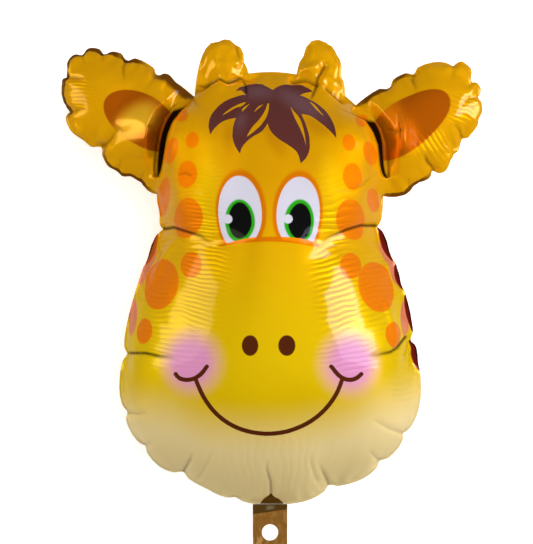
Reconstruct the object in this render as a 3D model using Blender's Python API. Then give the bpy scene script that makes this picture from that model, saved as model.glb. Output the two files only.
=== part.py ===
"""Giraffe head foil balloon, lying on its back and looking up.

Two film panels are welded together along a narrow fin that runs round the head, the ears and the
horns. Each panel is the solid half that its film encloses, from the seam plane to the film. The
filling tail leaves the chin, flat, with its round hole.

X runs to the right of the face, Y from the chin to the crown, Z out of the face. The origin is
under the middle of the balloon, on the surface that it lies on.
"""
import math
from bisect import bisect_left
from dataclasses import dataclass, replace

import bmesh
import bpy
from mathutils import Vector
from mathutils.geometry import delaunay_2d_cdt

# Head, along the weld line
HEAD_LENGTH = 0.514
CROWN_HEIGHT = 0.122
CHIN_HEIGHT = 0.134
TEMPLE_WIDTH = 0.266
CHEEK_WIDTH = 0.357
CHEEK_FLARE = 0.194
TEMPLE_DEPTH = 0.186
CHEEK_DEPTH = 0.222
CROWN_FULLNESS = 2.1
CHIN_FULLNESS = 1.95

# Ears: reach and width, the way they point, and where each springs from the temple
EAR_DEPTH = 0.080
EAR_FULLNESS = 2.4
LEFT_EAR_REACH = 0.131
LEFT_EAR_WIDTH = 0.126
LEFT_EAR_TURN = 139.5
LEFT_EAR_OUT = 0.004
LEFT_EAR_RISE = 0.048
RIGHT_EAR_REACH = 0.122
RIGHT_EAR_WIDTH = 0.120
RIGHT_EAR_TURN = 39.0
RIGHT_EAR_OUT = 0.015
RIGHT_EAR_RISE = 0.041

# Horns: reach and width, how far each stands from the middle, and how far its root is in the crown
HORN_DEPTH = 0.050
HORN_FULLNESS = 2.6
HORN_SUNK = 0.022
LEFT_HORN_REACH = 0.054
LEFT_HORN_WIDTH = 0.059
LEFT_HORN_TURN = 86.0
LEFT_HORN_OUT = 0.0585
RIGHT_HORN_REACH = 0.052
RIGHT_HORN_WIDTH = 0.055
RIGHT_HORN_TURN = 90.0
RIGHT_HORN_OUT = 0.0605

# Where the film gathers at the weld, as places from 0 to 4 round each form's outline
HEAD_PINCHES = (0.235, 0.765, 2.25, 2.83, 3.06, 3.17, 3.286, 3.42, 3.64, 3.774, 3.87)
LEFT_EAR_PINCHES = (1.09, 1.21, 1.315, 1.42, 1.54, 1.73, 1.91, 3.03)
RIGHT_EAR_PINCHES = (1.03, 1.15, 1.28, 1.40, 1.50, 1.625, 1.825, 1.925)
LEFT_HORN_PINCHES = (1.21, 1.40, 1.57)
RIGHT_HORN_PINCHES = (1.12, 1.28, 1.74)

# How deep each pinch cuts in, and how far along the weld it is felt
PINCH_DEPTH = 0.0055
PINCH_REACH = 0.010

# Weld fin: its width outside the weld line, one film's share of its thickness, and the seam
FIN_WIDTH = 0.0028
PLY = 0.0005
SEAM_GAP = 0.0003

# Filling tail
TAIL_WIDTH = 0.0415
TAIL_LENGTH = 0.064
TAIL_CORNER = 0.007
CORNER_SEGMENTS = 6
CORNER_PROFILE = 0.5
HOLE_DIAMETER = 0.0195
HOLE_TO_END = 0.030
HOLE_SIDES = 32
# The hole's cutter is this many times as long as the tail is thick
CUTTER_REACH = 4

# How much of the back's bulge the flat spot takes off
FLAT_SPOT = 0.006

# Lengths between points along the weld and across the film
WELD_STEP = 0.0095
FILM_STEP = 0.0150
OUTLINE_SAMPLES = 2000
# Rings of points near the weld, as shares of the way to it, and how far inside them the grid stays
RINGS = (0.985, 0.93, 0.85)
GRID_INSET = 0.03
# The creases beside the head: how near to them no other point comes, and how finely they are found
CREASE_CLEARANCE = 0.0045
VALLEY_HALVINGS = 16
# An outline point counts as hidden where its share in a neighbouring form is less than this
HIDDEN_SHARE = 0.90
# Corners of the plan, which stand clear of every form, and the distance at which points merge
PLAN_CORNER = 1.0
MERGE_DISTANCE = 1e-6

# Satin metallised film: the inks, how metallic they look, and how rough
FRONT_YELLOW = (0.85, 0.60, 0.02, 1.0)
BACK_YELLOW = (0.78, 0.50, 0.02, 1.0)
TAIL_BRONZE = (0.45, 0.25, 0.08, 1.0)
FILM_METALLIC = 0.8
FRONT_ROUGHNESS = 0.28
BACK_ROUGHNESS = 0.30
TAIL_ROUGHNESS = 0.25
# Edges that turn more than this many degrees are shaded sharp
SHARP_ANGLE = 40.0


@dataclass(frozen=True)
class Form:
    """One inflated form of the balloon, round a spine that runs from its near end to its far end.

    Its outline is half a superellipse round each end of the spine and a side between them. A
    place on the outline is a number from 0 to 4: 0 to 1 up the right side, 1 to 2 over the far
    end, 2 to 3 down the left side and 3 to 4 under the near end.
    """
    centre: tuple
    turn: float
    spine: float
    flare: float
    near_width: float
    far_width: float
    near_height: float
    far_height: float
    near_depth: float
    far_depth: float
    near_fullness: float
    far_fullness: float
    pinches: tuple

    def own(self, x, y):
        """A point of the balloon in the form's own axes: along the spine, and to its left."""
        turn = math.radians(self.turn)
        dx = x - self.centre[0]
        dy = y - self.centre[1]
        return dx * math.cos(turn) + dy * math.sin(turn), dy * math.cos(turn) - dx * math.sin(turn)

    def placed(self, along, across):
        """The point of the balloon at a place in the form's own axes."""
        turn = math.radians(self.turn)
        return (self.centre[0] + along * math.cos(turn) - across * math.sin(turn),
                self.centre[1] + along * math.sin(turn) + across * math.cos(turn))

    def side(self, along):
        """Half width beside the spine, which flares in a quarter sine towards the near end."""
        if along >= self.flare:
            return self.far_width / 2
        swell = math.sin(math.pi / 2 * (1 - along / self.flare))
        return (self.far_width + (self.near_width - self.far_width) * swell) / 2

    def rim(self, place):
        """The smooth outline, in the form's own axes, at a place from 0 to 4."""
        stretch = int(place) % 4
        part = place - int(place)
        if stretch in (0, 2):
            along = self.spine * (part if stretch == 0 else 1 - part)
            return along, self.side(along) * (-1 if stretch == 0 else 1)
        angle = math.pi * (part - 0.5) * (1 if stretch == 1 else -1)
        fullness = self.far_fullness if stretch == 1 else self.near_fullness
        out = abs(math.cos(angle)) ** (2 / fullness)
        across = math.copysign(abs(math.sin(angle)) ** (2 / fullness), angle)
        if stretch == 1:
            return self.spine + self.far_height * out, self.far_width / 2 * across
        return -self.near_height * out, self.near_width / 2 * across

    def gather(self, along, across):
        """How far the pinches draw the outline in at a place on it."""
        total = 0.0
        for place in self.pinches:
            edge = self.rim(place)
            away = math.hypot(along - edge[0], across - edge[1])
            total += PINCH_DEPTH * math.exp(-away / PINCH_REACH)
        return total

    def share(self, x, y):
        """0 on the spine, 1 on the weld line and more outside it."""
        along, across = self.own(x, y)
        foot = min(max(along, 0.0), self.spine)
        arm = math.hypot(along - foot, across)
        if arm < MERGE_DISTANCE:
            return 0.0
        if along == foot:
            reach = self.side(along)
        else:
            height, width, fullness = (
                (self.near_height, self.near_width, self.near_fullness) if along < 0
                else (self.far_height, self.far_width, self.far_fullness))
            stretch = (abs((along - foot) / height) ** fullness
                       + abs(2 * across / width) ** fullness) ** (1 / fullness)
            reach = arm / stretch
        rim_along = foot + (along - foot) * reach / arm
        return arm / (reach - self.gather(rim_along, across * reach / arm))

    def height(self, x, y):
        """How far the film stands off the seam plane."""
        share = self.share(x, y)
        if share >= 1:
            return 0.0
        along = min(max(self.own(x, y)[0], 0.0), self.spine)
        gone = along / self.spine if self.spine else 0.0
        depth = self.near_depth + (self.far_depth - self.near_depth) * gone * gone
        return depth / 2 * math.sqrt(1 - share * share)

    def places(self):
        """Places round the weld: one at each pinch, and even steps of about WELD_STEP between them."""
        dense = [4 * i / OUTLINE_SAMPLES for i in range(2 * OUTLINE_SAMPLES + 1)]
        run = [0.0]
        for before, here in zip(dense, dense[1:]):
            run.append(run[-1] + math.dist(self.rim(before), self.rim(here)))
        marks = sorted(round(place * OUTLINE_SAMPLES / 4) for place in self.pinches)
        chosen = []
        for start, end in zip(marks, marks[1:] + [marks[0] + OUTLINE_SAMPLES]):
            stretch = run[end] - run[start]
            steps = max(1, round(stretch / WELD_STEP))
            chosen += [dense[bisect_left(run, run[start] + stretch * step / steps)] for step in range(steps)]
        return chosen

    def ring(self, share):
        """Points of the balloon at one share of the way to the weld."""
        points = []
        for place in self.places():
            along, across = self.rim(place)
            foot = min(max(along, 0.0), self.spine)
            arm = math.hypot(along - foot, across)
            pulled = share * (1 - self.gather(along, across) / arm)
            points.append(self.placed(foot + (along - foot) * pulled, across * pulled))
        return points

    def grown(self, amount):
        """The same form with its outline moved out by an amount."""
        return replace(self, near_width=self.near_width + 2 * amount, far_width=self.far_width + 2 * amount,
                       near_height=self.near_height + amount, far_height=self.far_height + amount)


def head():
    """The head: the cheeks and chin are its near end, the crown its far end."""
    spine = HEAD_LENGTH - CROWN_HEIGHT - CHIN_HEIGHT
    return Form(centre=(0.0, 0.0), turn=90.0, spine=spine, flare=CHEEK_FLARE,
                near_width=CHEEK_WIDTH, far_width=TEMPLE_WIDTH,
                near_height=CHIN_HEIGHT, far_height=CROWN_HEIGHT,
                near_depth=CHEEK_DEPTH, far_depth=TEMPLE_DEPTH,
                near_fullness=CHIN_FULLNESS, far_fullness=CROWN_FULLNESS,
                pinches=HEAD_PINCHES)


def ear(turn, side, reach, width, out, rise, pinches):
    """One ear, whose centre lies beside the temple, `side` being -1 on the left and 1 on the right."""
    temple = HEAD_LENGTH - CROWN_HEIGHT - CHIN_HEIGHT
    return Form(centre=(side * (TEMPLE_WIDTH / 2 + out), temple + rise), turn=turn, spine=0.0, flare=0.0,
                near_width=width, far_width=width, near_height=width / 2, far_height=reach,
                near_depth=EAR_DEPTH, far_depth=EAR_DEPTH,
                near_fullness=EAR_FULLNESS, far_fullness=EAR_FULLNESS, pinches=pinches)


def horn(turn, side, reach, width, out, pinches):
    """One horn, rooted in the crown."""
    crown = HEAD_LENGTH - CHIN_HEIGHT - CROWN_HEIGHT
    slope = (1 - (2 * out / TEMPLE_WIDTH) ** CROWN_FULLNESS) ** (1 / CROWN_FULLNESS)
    root = crown + CROWN_HEIGHT * slope - HORN_SUNK
    return Form(centre=(side * out, root), turn=turn, spine=0.0, flare=0.0, near_width=width,
                far_width=width, near_height=width / 2, far_height=reach + HORN_SUNK,
                near_depth=HORN_DEPTH, far_depth=HORN_DEPTH,
                near_fullness=HORN_FULLNESS, far_fullness=HORN_FULLNESS, pinches=pinches)


def forms():
    """All the forms that the two films enclose."""
    return [
        head(),
        ear(LEFT_EAR_TURN, -1, LEFT_EAR_REACH, LEFT_EAR_WIDTH, LEFT_EAR_OUT, LEFT_EAR_RISE,
            LEFT_EAR_PINCHES),
        ear(RIGHT_EAR_TURN, 1, RIGHT_EAR_REACH, RIGHT_EAR_WIDTH, RIGHT_EAR_OUT, RIGHT_EAR_RISE,
            RIGHT_EAR_PINCHES),
        horn(LEFT_HORN_TURN, -1, LEFT_HORN_REACH, LEFT_HORN_WIDTH, LEFT_HORN_OUT, LEFT_HORN_PINCHES),
        horn(RIGHT_HORN_TURN, 1, RIGHT_HORN_REACH, RIGHT_HORN_WIDTH, RIGHT_HORN_OUT,
             RIGHT_HORN_PINCHES),
    ]


def film_points(welded, creases):
    """Points inside the weld: rings near it, which follow its curve, then an even triangular grid.

    None comes close to the points of the creases.
    """
    points = []
    for form in welded:
        for share in RINGS:
            points += [p for p in form.ring(share)
                       if form.height(*p) >= max(other.height(*p) for other in welded)]
    outermost = [p for form in welded for p in form.ring(1.0)]
    low = [min(p[i] for p in outermost) for i in (0, 1)]
    high = [max(p[i] for p in outermost) for i in (0, 1)]
    row_step = FILM_STEP * math.sqrt(3) / 2
    for row in range(int((high[1] - low[1]) / row_step) + 1):
        y = low[1] + row * row_step
        for column in range(int((high[0] - low[0]) / FILM_STEP) + 1):
            x = low[0] + (column + row % 2 / 2) * FILM_STEP
            if min(form.share(x, y) for form in welded) < RINGS[-1] - GRID_INSET:
                points.append((x, y))
    return [p for p in points if min(math.dist(p, crease) for crease in creases) > CREASE_CLEARANCE]


def valley(form, main):
    """Where a form's film meets the main form's, on lines from its centre to its weld, and the edges."""
    found = {}
    rim = [form.placed(*form.rim(place)) for place in form.places()]
    for number, edge in enumerate(rim):
        def point(part):
            return [form.centre[i] + (edge[i] - form.centre[i]) * part for i in (0, 1)]

        def lead(part):
            return form.height(*point(part)) - main.height(*point(part))

        low = 0.0
        high = RINGS[0]
        if lead(low) * lead(high) >= 0:
            continue
        for _ in range(VALLEY_HALVINGS):
            half = (low + high) / 2
            if lead(half) * lead(low) > 0:
                low = half
            else:
                high = half
        found[number] = point(low)
    order = {number: place for place, number in enumerate(found)}
    followers = [(number, (number + 1) % len(rim)) for number in found]
    return list(found.values()), [(order[a], order[b]) for a, b in followers if b in found]


def chains(outlines):
    """Outline loops as runs of points and their edges, without what lies deep in a neighbour."""
    points = []
    edges = []
    for form in outlines:
        loop = form.ring(1.0)
        others = [other for other in outlines if other is not form]
        shown = [min(other.share(*p) for other in others) > HIDDEN_SHARE for p in loop]
        for i, p in enumerate(loop):
            points.append(p)
            follower = (i + 1) % len(loop)
            if shown[i] or shown[follower]:
                start = len(points) - 1
                edges.append((start, start - i + follower))
    used = {i for edge in edges for i in edge}
    order = {old: new for new, old in enumerate(sorted(used))}
    return [points[i] for i in sorted(used)], [(order[a], order[b]) for a, b in edges]


def tail_top():
    """Where the tail leaves the chin, in the middle of the fin."""
    return -CHIN_HEIGHT - FIN_WIDTH / 2


def fans_round(point, triangles, around, outer):
    """The outer triangles at a point, in groups that share edges there."""
    left = [number for number in around[point] if number in outer]
    fans = []
    while left:
        fan = [left.pop()]
        for member in fan:
            joined = [number for number in left
                      if len(set(triangles[number]) & set(triangles[member])) == 2]
            fan += joined
            left = [number for number in left if number not in joined]
        fans.append(fan)
    return fans


def closed_up(triangles, inside):
    """The inside triangles, with pockets filled and a web wherever the outline would touch itself."""
    by_edge = {}
    around = {}
    for number, triangle in enumerate(triangles):
        for i, corner in enumerate(triangle):
            by_edge.setdefault(frozenset((corner, triangle[i - 1])), []).append(number)
            around.setdefault(corner, []).append(number)
    queue = [both[0] for both in by_edge.values() if len(both) == 1 and both[0] not in inside]
    outer = set(queue)
    while queue:
        triangle = triangles[queue.pop()]
        for i, corner in enumerate(triangle):
            for number in by_edge[frozenset((corner, triangle[i - 1]))]:
                if number not in inside and number not in outer:
                    outer.add(number)
                    queue.append(number)
    touching = True
    while touching:
        touching = False
        for point, members in around.items():
            fans = fans_round(point, triangles, around, outer)
            if len(fans) > 1 and any(number not in outer for number in members):
                outer -= set(min(fans, key=len))
                touching = True
    return [triangle for number, triangle in enumerate(triangles) if number not in outer]


def panel_plan():
    """The flat triangulation that both panels share: points, triangles and film heights."""
    welded = forms()
    finned = [form.grown(FIN_WIDTH) for form in welded]
    points = []
    edges = []
    for outlines in (finned, welded):
        loop_points, loop_edges = chains(outlines)
        edges += [(a + len(points), b + len(points)) for a, b in loop_edges]
        points += loop_points
    cut = tail_top()
    edges.append((len(points), len(points) + 1))
    points += [(side * TAIL_WIDTH, cut) for side in (-1, 1)]
    creases = []
    for form in welded[1:]:
        valley_points, valley_edges = valley(form, welded[0])
        edges += [(a + len(points), b + len(points)) for a, b in valley_edges]
        points += valley_points
        creases += valley_points
    points += film_points(welded, creases)
    points += [(x * PLAN_CORNER, y * PLAN_CORNER) for x in (-1, 1) for y in (-1, 1)]
    found = delaunay_2d_cdt([Vector(p) for p in points], edges, [], 0, MERGE_DISTANCE)
    inside = set()
    for number, triangle in enumerate(found[2]):
        x = sum(found[0][i].x for i in triangle) / 3
        y = sum(found[0][i].y for i in triangle) / 3
        if y > cut and min(form.share(x, y) for form in finned) < 1:
            inside.add(number)
    heights = [max(form.height(*p) for form in welded) for p in found[0]]
    return found[0], closed_up(found[2], inside), heights


def middle(points):
    """The middle of the balloon with its tail, in the drawing's own axes."""
    bottom = tail_top() - SEAM_GAP - TAIL_LENGTH
    return ((min(p[0] for p in points) + max(p[0] for p in points)) / 2,
            (max(p[1] for p in points) + bottom) / 2)


def seam_height():
    """Height of the seam plane over the surface that the flat spot lies on."""
    return SEAM_GAP / 2 + PLY + CHEEK_DEPTH / 2 - FLAT_SPOT


def film_material(name, colour, roughness):
    """Satin metallised film with a coloured ink."""
    material = bpy.data.materials.new(name)
    material.use_nodes = True
    shader = material.node_tree.nodes["Principled BSDF"]
    shader.inputs["Base Color"].default_value = colour
    shader.inputs["Metallic"].default_value = FILM_METALLIC
    shader.inputs["Roughness"].default_value = roughness
    return material


def add_object(name, mesh, material):
    """Put a mesh into the scene under its own name, shaded smooth up to its sharp edges."""
    mesh.materials.append(material)
    mesh.shade_smooth()
    mesh.set_sharp_from_angle(angle=math.radians(SHARP_ANGLE))
    built = bpy.data.objects.new(name, mesh)
    bpy.context.scene.collection.objects.link(built)
    return built


def panel(name, plan, shift, face, rise_limit, material):
    """One film panel: a solid from the seam plane to the film, `face` being 1 for front, -1 for back."""
    points, triangles, heights = plan
    seam = seam_height() + face * SEAM_GAP / 2
    used = sorted({i for triangle in triangles for i in triangle})
    bm = bmesh.new()
    film = {}
    for i in used:
        rise = PLY + min(heights[i], rise_limit)
        film[i] = bm.verts.new((points[i].x - shift[0], points[i].y - shift[1], seam + face * rise))
    for triangle in triangles:
        bm.faces.new([film[i] for i in triangle])
    border = [edge for edge in bm.edges if edge.is_boundary]
    grown = bmesh.ops.extrude_edge_only(bm, edges=border)["geom"]
    for vert in [part for part in grown if isinstance(part, bmesh.types.BMVert)]:
        vert.co.z = seam
    rim = [edge for edge in bm.edges if edge.is_boundary]
    flat = bmesh.ops.contextual_create(bm, geom=rim)["faces"]
    bmesh.ops.triangulate(bm, faces=flat)
    bmesh.ops.recalc_face_normals(bm, faces=bm.faces)
    mesh = bpy.data.meshes.new(name)
    bm.to_mesh(mesh)
    bm.free()
    return add_object(name, mesh, material)


def tail(name, shift, material):
    """The flat filling tail: both plies of film with round lower corners and the hole through them."""
    thick = SEAM_GAP + 2 * PLY
    top = tail_top() - SEAM_GAP
    middle_y = top - TAIL_LENGTH / 2
    bm = bmesh.new()
    bmesh.ops.create_cube(bm, size=1.0)
    bmesh.ops.scale(bm, vec=(TAIL_WIDTH, TAIL_LENGTH, thick), verts=bm.verts)
    corners = [edge for edge in bm.edges
               if abs(edge.verts[0].co.z - edge.verts[1].co.z) > thick / 2 and edge.verts[0].co.y < 0]
    bmesh.ops.bevel(bm, geom=corners, offset=TAIL_CORNER, segments=CORNER_SEGMENTS,
                    profile=CORNER_PROFILE, affect='EDGES')
    place = Vector((-shift[0], middle_y - shift[1], seam_height()))
    bmesh.ops.translate(bm, vec=place, verts=bm.verts)
    mesh = bpy.data.meshes.new(name)
    bm.to_mesh(mesh)
    bm.free()
    built = add_object(name, mesh, material)

    bpy.ops.mesh.primitive_cylinder_add(
        vertices=HOLE_SIDES, radius=HOLE_DIAMETER / 2, depth=thick * CUTTER_REACH,
        location=(place.x, top - TAIL_LENGTH + HOLE_TO_END - shift[1], place.z))
    cutter = bpy.context.object
    cutter.name = "hole_cutter"
    cutter.hide_render = True
    cutter.display_type = 'WIRE'
    cut = built.modifiers.new("hole", 'BOOLEAN')
    cut.operation = 'DIFFERENCE'
    cut.object = cutter
    return built


def build():
    """Clear the scene and make the balloon."""
    for old in list(bpy.data.objects):
        bpy.data.objects.remove(old, do_unlink=True)
    plan = panel_plan()
    shift = middle([plan[0][i] for triangle in plan[1] for i in triangle])
    panel("front_panel", plan, shift, 1, math.inf,
          film_material("front_film", FRONT_YELLOW, FRONT_ROUGHNESS))
    panel("back_panel", plan, shift, -1, CHEEK_DEPTH / 2 - FLAT_SPOT,
          film_material("back_film", BACK_YELLOW, BACK_ROUGHNESS))
    tail("filling_tail", shift, film_material("tail_film", TAIL_BRONZE, TAIL_ROUGHNESS))


build()
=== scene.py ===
"""Giraffe head foil balloon, lying on its back, with its printed face up.

The film of each panel is cut flat, gathered along the weld and blown up, which gives its lobes
and wrinkles; folds are then pressed in along given lines, and fine pleats are bumps of its finish.
The print is laid out on the flat film.
"""

import logging
import math
from dataclasses import dataclass, replace
from enum import Enum
from functools import reduce
from typing import Iterable, Optional, Sequence, Union

import bmesh
import bpy
import numpy as np
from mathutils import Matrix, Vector, kdtree, noise
from mathutils.geometry import delaunay_2d_cdt


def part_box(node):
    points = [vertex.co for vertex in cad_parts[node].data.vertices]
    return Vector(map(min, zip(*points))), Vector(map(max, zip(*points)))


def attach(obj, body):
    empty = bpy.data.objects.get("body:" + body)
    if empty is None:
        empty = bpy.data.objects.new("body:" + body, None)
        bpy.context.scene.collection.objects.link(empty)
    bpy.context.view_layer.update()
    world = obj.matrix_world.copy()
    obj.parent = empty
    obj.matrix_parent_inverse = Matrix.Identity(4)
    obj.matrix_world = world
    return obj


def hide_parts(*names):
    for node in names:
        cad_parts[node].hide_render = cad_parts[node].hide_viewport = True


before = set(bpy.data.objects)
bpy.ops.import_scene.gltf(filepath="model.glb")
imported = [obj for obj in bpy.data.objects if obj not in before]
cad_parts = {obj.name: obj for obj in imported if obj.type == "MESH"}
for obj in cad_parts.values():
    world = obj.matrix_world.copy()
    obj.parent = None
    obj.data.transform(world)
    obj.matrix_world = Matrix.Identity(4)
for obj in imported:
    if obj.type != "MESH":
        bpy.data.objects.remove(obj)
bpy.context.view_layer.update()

Number = Union[int, float]
Point = tuple[float, float]
Triple = tuple[float, float, float]
Colour = tuple[float, float, float, float]

log = logging.getLogger("balloon")


class Side(Enum):
    """The two panels of the balloon, by the way that each faces."""

    FRONT = 1
    BACK = -1


class Hand(Enum):
    """The side of the face, as the photograph shows it."""

    LEFT = -1
    RIGHT = 1


@dataclass(frozen=True)
class Photograph:
    """How the photograph's pixels lie on the seam plane of the balloon."""

    width: int = 533
    height: int = 544
    metres_per_pixel: float = 0.0012
    middle_x: float = 271.41
    middle_y: float = 298.27
    distance: float = 2.4

    def place(self, x: Number, y: Number) -> Point:
        """The point of the seam plane, in metres, that shows at a pixel."""
        return (x - self.middle_x) * self.metres_per_pixel, (self.middle_y - y) * self.metres_per_pixel

    def eye(self) -> Point:
        """The point of the seam plane under the camera."""
        return self.place(self.width / 2, self.height / 2)

    def seen(self, points: np.ndarray) -> np.ndarray:
        """Pixels at which points show.

        Args:
            points: Rows of x, y and height over the seam plane.

        Returns:
            Rows of pixel x and y.
        """
        eye = np.array(self.eye())
        nearer = self.distance / (self.distance - points[:, 2])
        plane = eye + (points[:, :2] - eye) * nearer[:, None]
        return np.column_stack([plane[:, 0] / self.metres_per_pixel + self.middle_x,
                                self.middle_y - plane[:, 1] / self.metres_per_pixel])


PHOTO = Photograph()


def placed(name: str, data: bpy.types.ID) -> bpy.types.Object:
    """A new object of the scene that shows some data."""
    made = bpy.data.objects.new(name, data)
    bpy.context.scene.collection.objects.link(made)
    return made


def ease(share: np.ndarray) -> np.ndarray:
    """Shares from 0 to 1 with a smooth start and end."""
    return share * share * (3 - 2 * share)


def gaps(points: np.ndarray, others: np.ndarray) -> np.ndarray:
    """How far each flat point is from the nearest of the others.

    Args:
        points: Rows of x and y.
        others: The other points, in the same form.

    Returns:
        The distances.
    """
    tree = kdtree.KDTree(len(others))
    for number, place in enumerate(others.tolist()):
        tree.insert((*place, 0), number)
    tree.balance()
    return np.array([tree.find((*place, 0))[2] for place in points.tolist()])


class Value:
    """A number carried by a socket, on which arithmetic adds Math nodes."""

    def __init__(self, shader: "Shader", socket: bpy.types.NodeSocket) -> None:
        """Wrap a socket of a shader's tree."""
        self.shader, self.socket = shader, socket

    def math(self, operation: str, *others: "Operand", first: bool = True) -> "Value":
        """A Math node on this value and others.

        Args:
            operation: The Math node's operation.
            others: The other operands, in order.
            first: Whether this value is the first operand, or else the last.

        Returns:
            The node's result.
        """
        operands = [self, *others] if first else [*others, self]
        return self.shader.value("ShaderNodeMath", {"operation": operation}, dict(enumerate(operands)))

    def __add__(self, other: "Operand") -> "Value":
        """This plus another."""
        return self.math("ADD", other)

    __radd__ = __add__

    def __sub__(self, other: "Operand") -> "Value":
        """This minus another."""
        return self.math("SUBTRACT", other)

    def __rsub__(self, other: "Operand") -> "Value":
        """Another minus this."""
        return self.math("SUBTRACT", other, first=False)

    def __mul__(self, other: "Operand") -> "Value":
        """This times another."""
        return self.math("MULTIPLY", other)

    __rmul__ = __mul__

    def least(self, other: "Operand") -> "Value":
        """The smaller of this and another."""
        return self.math("MINIMUM", other)

    def most(self, other: "Operand") -> "Value":
        """The larger of this and another."""
        return self.math("MAXIMUM", other)

    def above(self, other: "Operand") -> "Value":
        """1 where this is more than another, 0 elsewhere."""
        return self.math("GREATER_THAN", other)

    def below(self, other: "Operand") -> "Value":
        """1 where this is less than another, 0 elsewhere."""
        return self.math("LESS_THAN", other)

    def step(self, low: Number, high: Number) -> "Value":
        """A smooth step from 0 at one value to 1 at another."""
        settings = {"interpolation_type": "SMOOTHSTEP", "clamp": True}
        inputs = {"Value": self, "From Min": low, "From Max": high}
        return self.shader.value("ShaderNodeMapRange", settings, inputs, "Result")


Operand = Union[Value, Number]


class Shader:
    """The node tree of a material, a light or the world, round the node that gives its surface."""

    def __init__(self, owner: bpy.types.ID, surface: str = "Principled BSDF") -> None:
        """Start the tree of its owner, at the node of that name."""
        self.owner = owner
        owner.use_nodes = True
        self.tree = owner.node_tree
        self.surface = self.tree.nodes[surface]

    def node(self, kind: str, settings: Optional[dict] = None, inputs: Optional[dict] = None) -> bpy.types.Node:
        """Add a node.

        Args:
            kind: The node's type name.
            settings: Its own settings by name; `stops` sets a ramp's stops and `curve` a curve's points.
            inputs: Values, links or numbers for its sockets, by name or place.

        Returns:
            The new node.
        """
        made = self.tree.nodes.new(kind)
        for name, setting in (settings or {}).items():
            if name == "stops":
                self.set_stops(made, setting)
            elif name == "curve":
                self.set_curve(made, setting)
            else:
                setattr(made, name, setting)
        for name, given in (inputs or {}).items():
            self.feed(made.inputs[name], given)
        return made

    def set_stops(self, made: bpy.types.Node, stops: Sequence[Point]) -> None:
        """Give a ramp its stops, each a place and a level of grey."""
        ramp = made.color_ramp
        ramp.interpolation = "EASE"
        while len(ramp.elements) < len(stops):
            ramp.elements.new(0.5)
        for element, (place, level) in zip(ramp.elements, stops):
            element.position = place
            element.color = (level, level, level, 1)

    def set_curve(self, made: bpy.types.Node, points: Sequence[tuple[float, float, bool]]) -> None:
        """Give a float curve its points, each with whether it is a sharp corner."""
        curve = made.mapping.curves[0]
        while len(curve.points) < len(points):
            curve.points.new(0.5, 0.5)
        for knot, (x, y, sharp) in zip(curve.points, points):
            knot.location = (x, y)
            knot.handle_type = "VECTOR" if sharp else "AUTO"
        made.mapping.update()

    def feed(self, socket: bpy.types.NodeSocket, given: object) -> None:
        """Link a value or a socket to a socket, or set a plain number or colour on it."""
        if isinstance(given, Value):
            given = given.socket
        if isinstance(given, bpy.types.NodeSocket):
            self.tree.links.new(given, socket)
        else:
            socket.default_value = given

    def value(self, kind: str, settings: Optional[dict] = None, inputs: Optional[dict] = None,
              output: Union[int, str] = 0) -> Value:
        """Add a node and wrap one of its outputs as a value."""
        return Value(self, self.node(kind, settings, inputs).outputs[output])

    def parts(self, vector: bpy.types.NodeSocket) -> list[Value]:
        """The x, y and z of a vector."""
        return [Value(self, part) for part in self.node("ShaderNodeSeparateXYZ", inputs={0: vector}).outputs]

    def grain(self, place: bpy.types.NodeSocket, scale: float, detail: float = 1.0, **settings: str) -> Value:
        """Noise over a place."""
        return self.value("ShaderNodeTexNoise", settings, {"Vector": place, "Scale": scale, "Detail": detail})

    def bump(self, height: Value, strength: float = 1.0) -> bpy.types.NodeSocket:
        """The normal of a surface, given its height in metres."""
        return self.node("ShaderNodeBump", {}, {"Height": height, "Strength": strength, "Distance": 1.0}).outputs[0]

    def mix(self, factor: Operand, low: object, high: object) -> bpy.types.NodeSocket:
        """A colour between two colours."""
        return self.node("ShaderNodeMix", {"data_type": "RGBA"}, {0: factor, 6: low, 7: high}).outputs[2]

    def finish(self, **inputs: object) -> bpy.types.ID:
        """Feed the surface's sockets.

        Args:
            inputs: What each socket takes, by its name with _ for a space.

        Returns:
            The finished material, light or world.
        """
        for name, given in inputs.items():
            self.feed(self.surface.inputs[name.replace("_", " ")], given)
        return self.owner


@dataclass(frozen=True)
class Limb:
    """An ear or a horn: where it springs from, the way it points, and how much larger it is cut."""

    root: Point
    turn: float
    half_width: float
    lengthen: float
    widen: float = 0.30

    def axes(self) -> tuple[np.ndarray, np.ndarray]:
        """Unit vectors along the limb and across it."""
        turn = math.radians(self.turn)
        return np.array([math.cos(turn), math.sin(turn)]), np.array([-math.sin(turn), math.cos(turn)])

    def own(self, points: np.ndarray) -> tuple[np.ndarray, np.ndarray]:
        """Lengths of points along the limb and across it, from its root."""
        along, across = self.axes()
        away = points - np.array(self.root)
        return away @ along, away @ across


EAR_LENGTHEN = 0.20
HORN_LENGTHEN = 0.15
LIMBS = (Limb((-0.1387, 0.1947), 139.5, 0.063, EAR_LENGTHEN), Limb((0.1463, 0.1877), 39.0, 0.060, EAR_LENGTHEN),
         Limb((-0.0602, 0.2560), 86.0, 0.030, HORN_LENGTHEN), Limb((0.0588, 0.2550), 90.0, 0.028, HORN_LENGTHEN))


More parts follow.
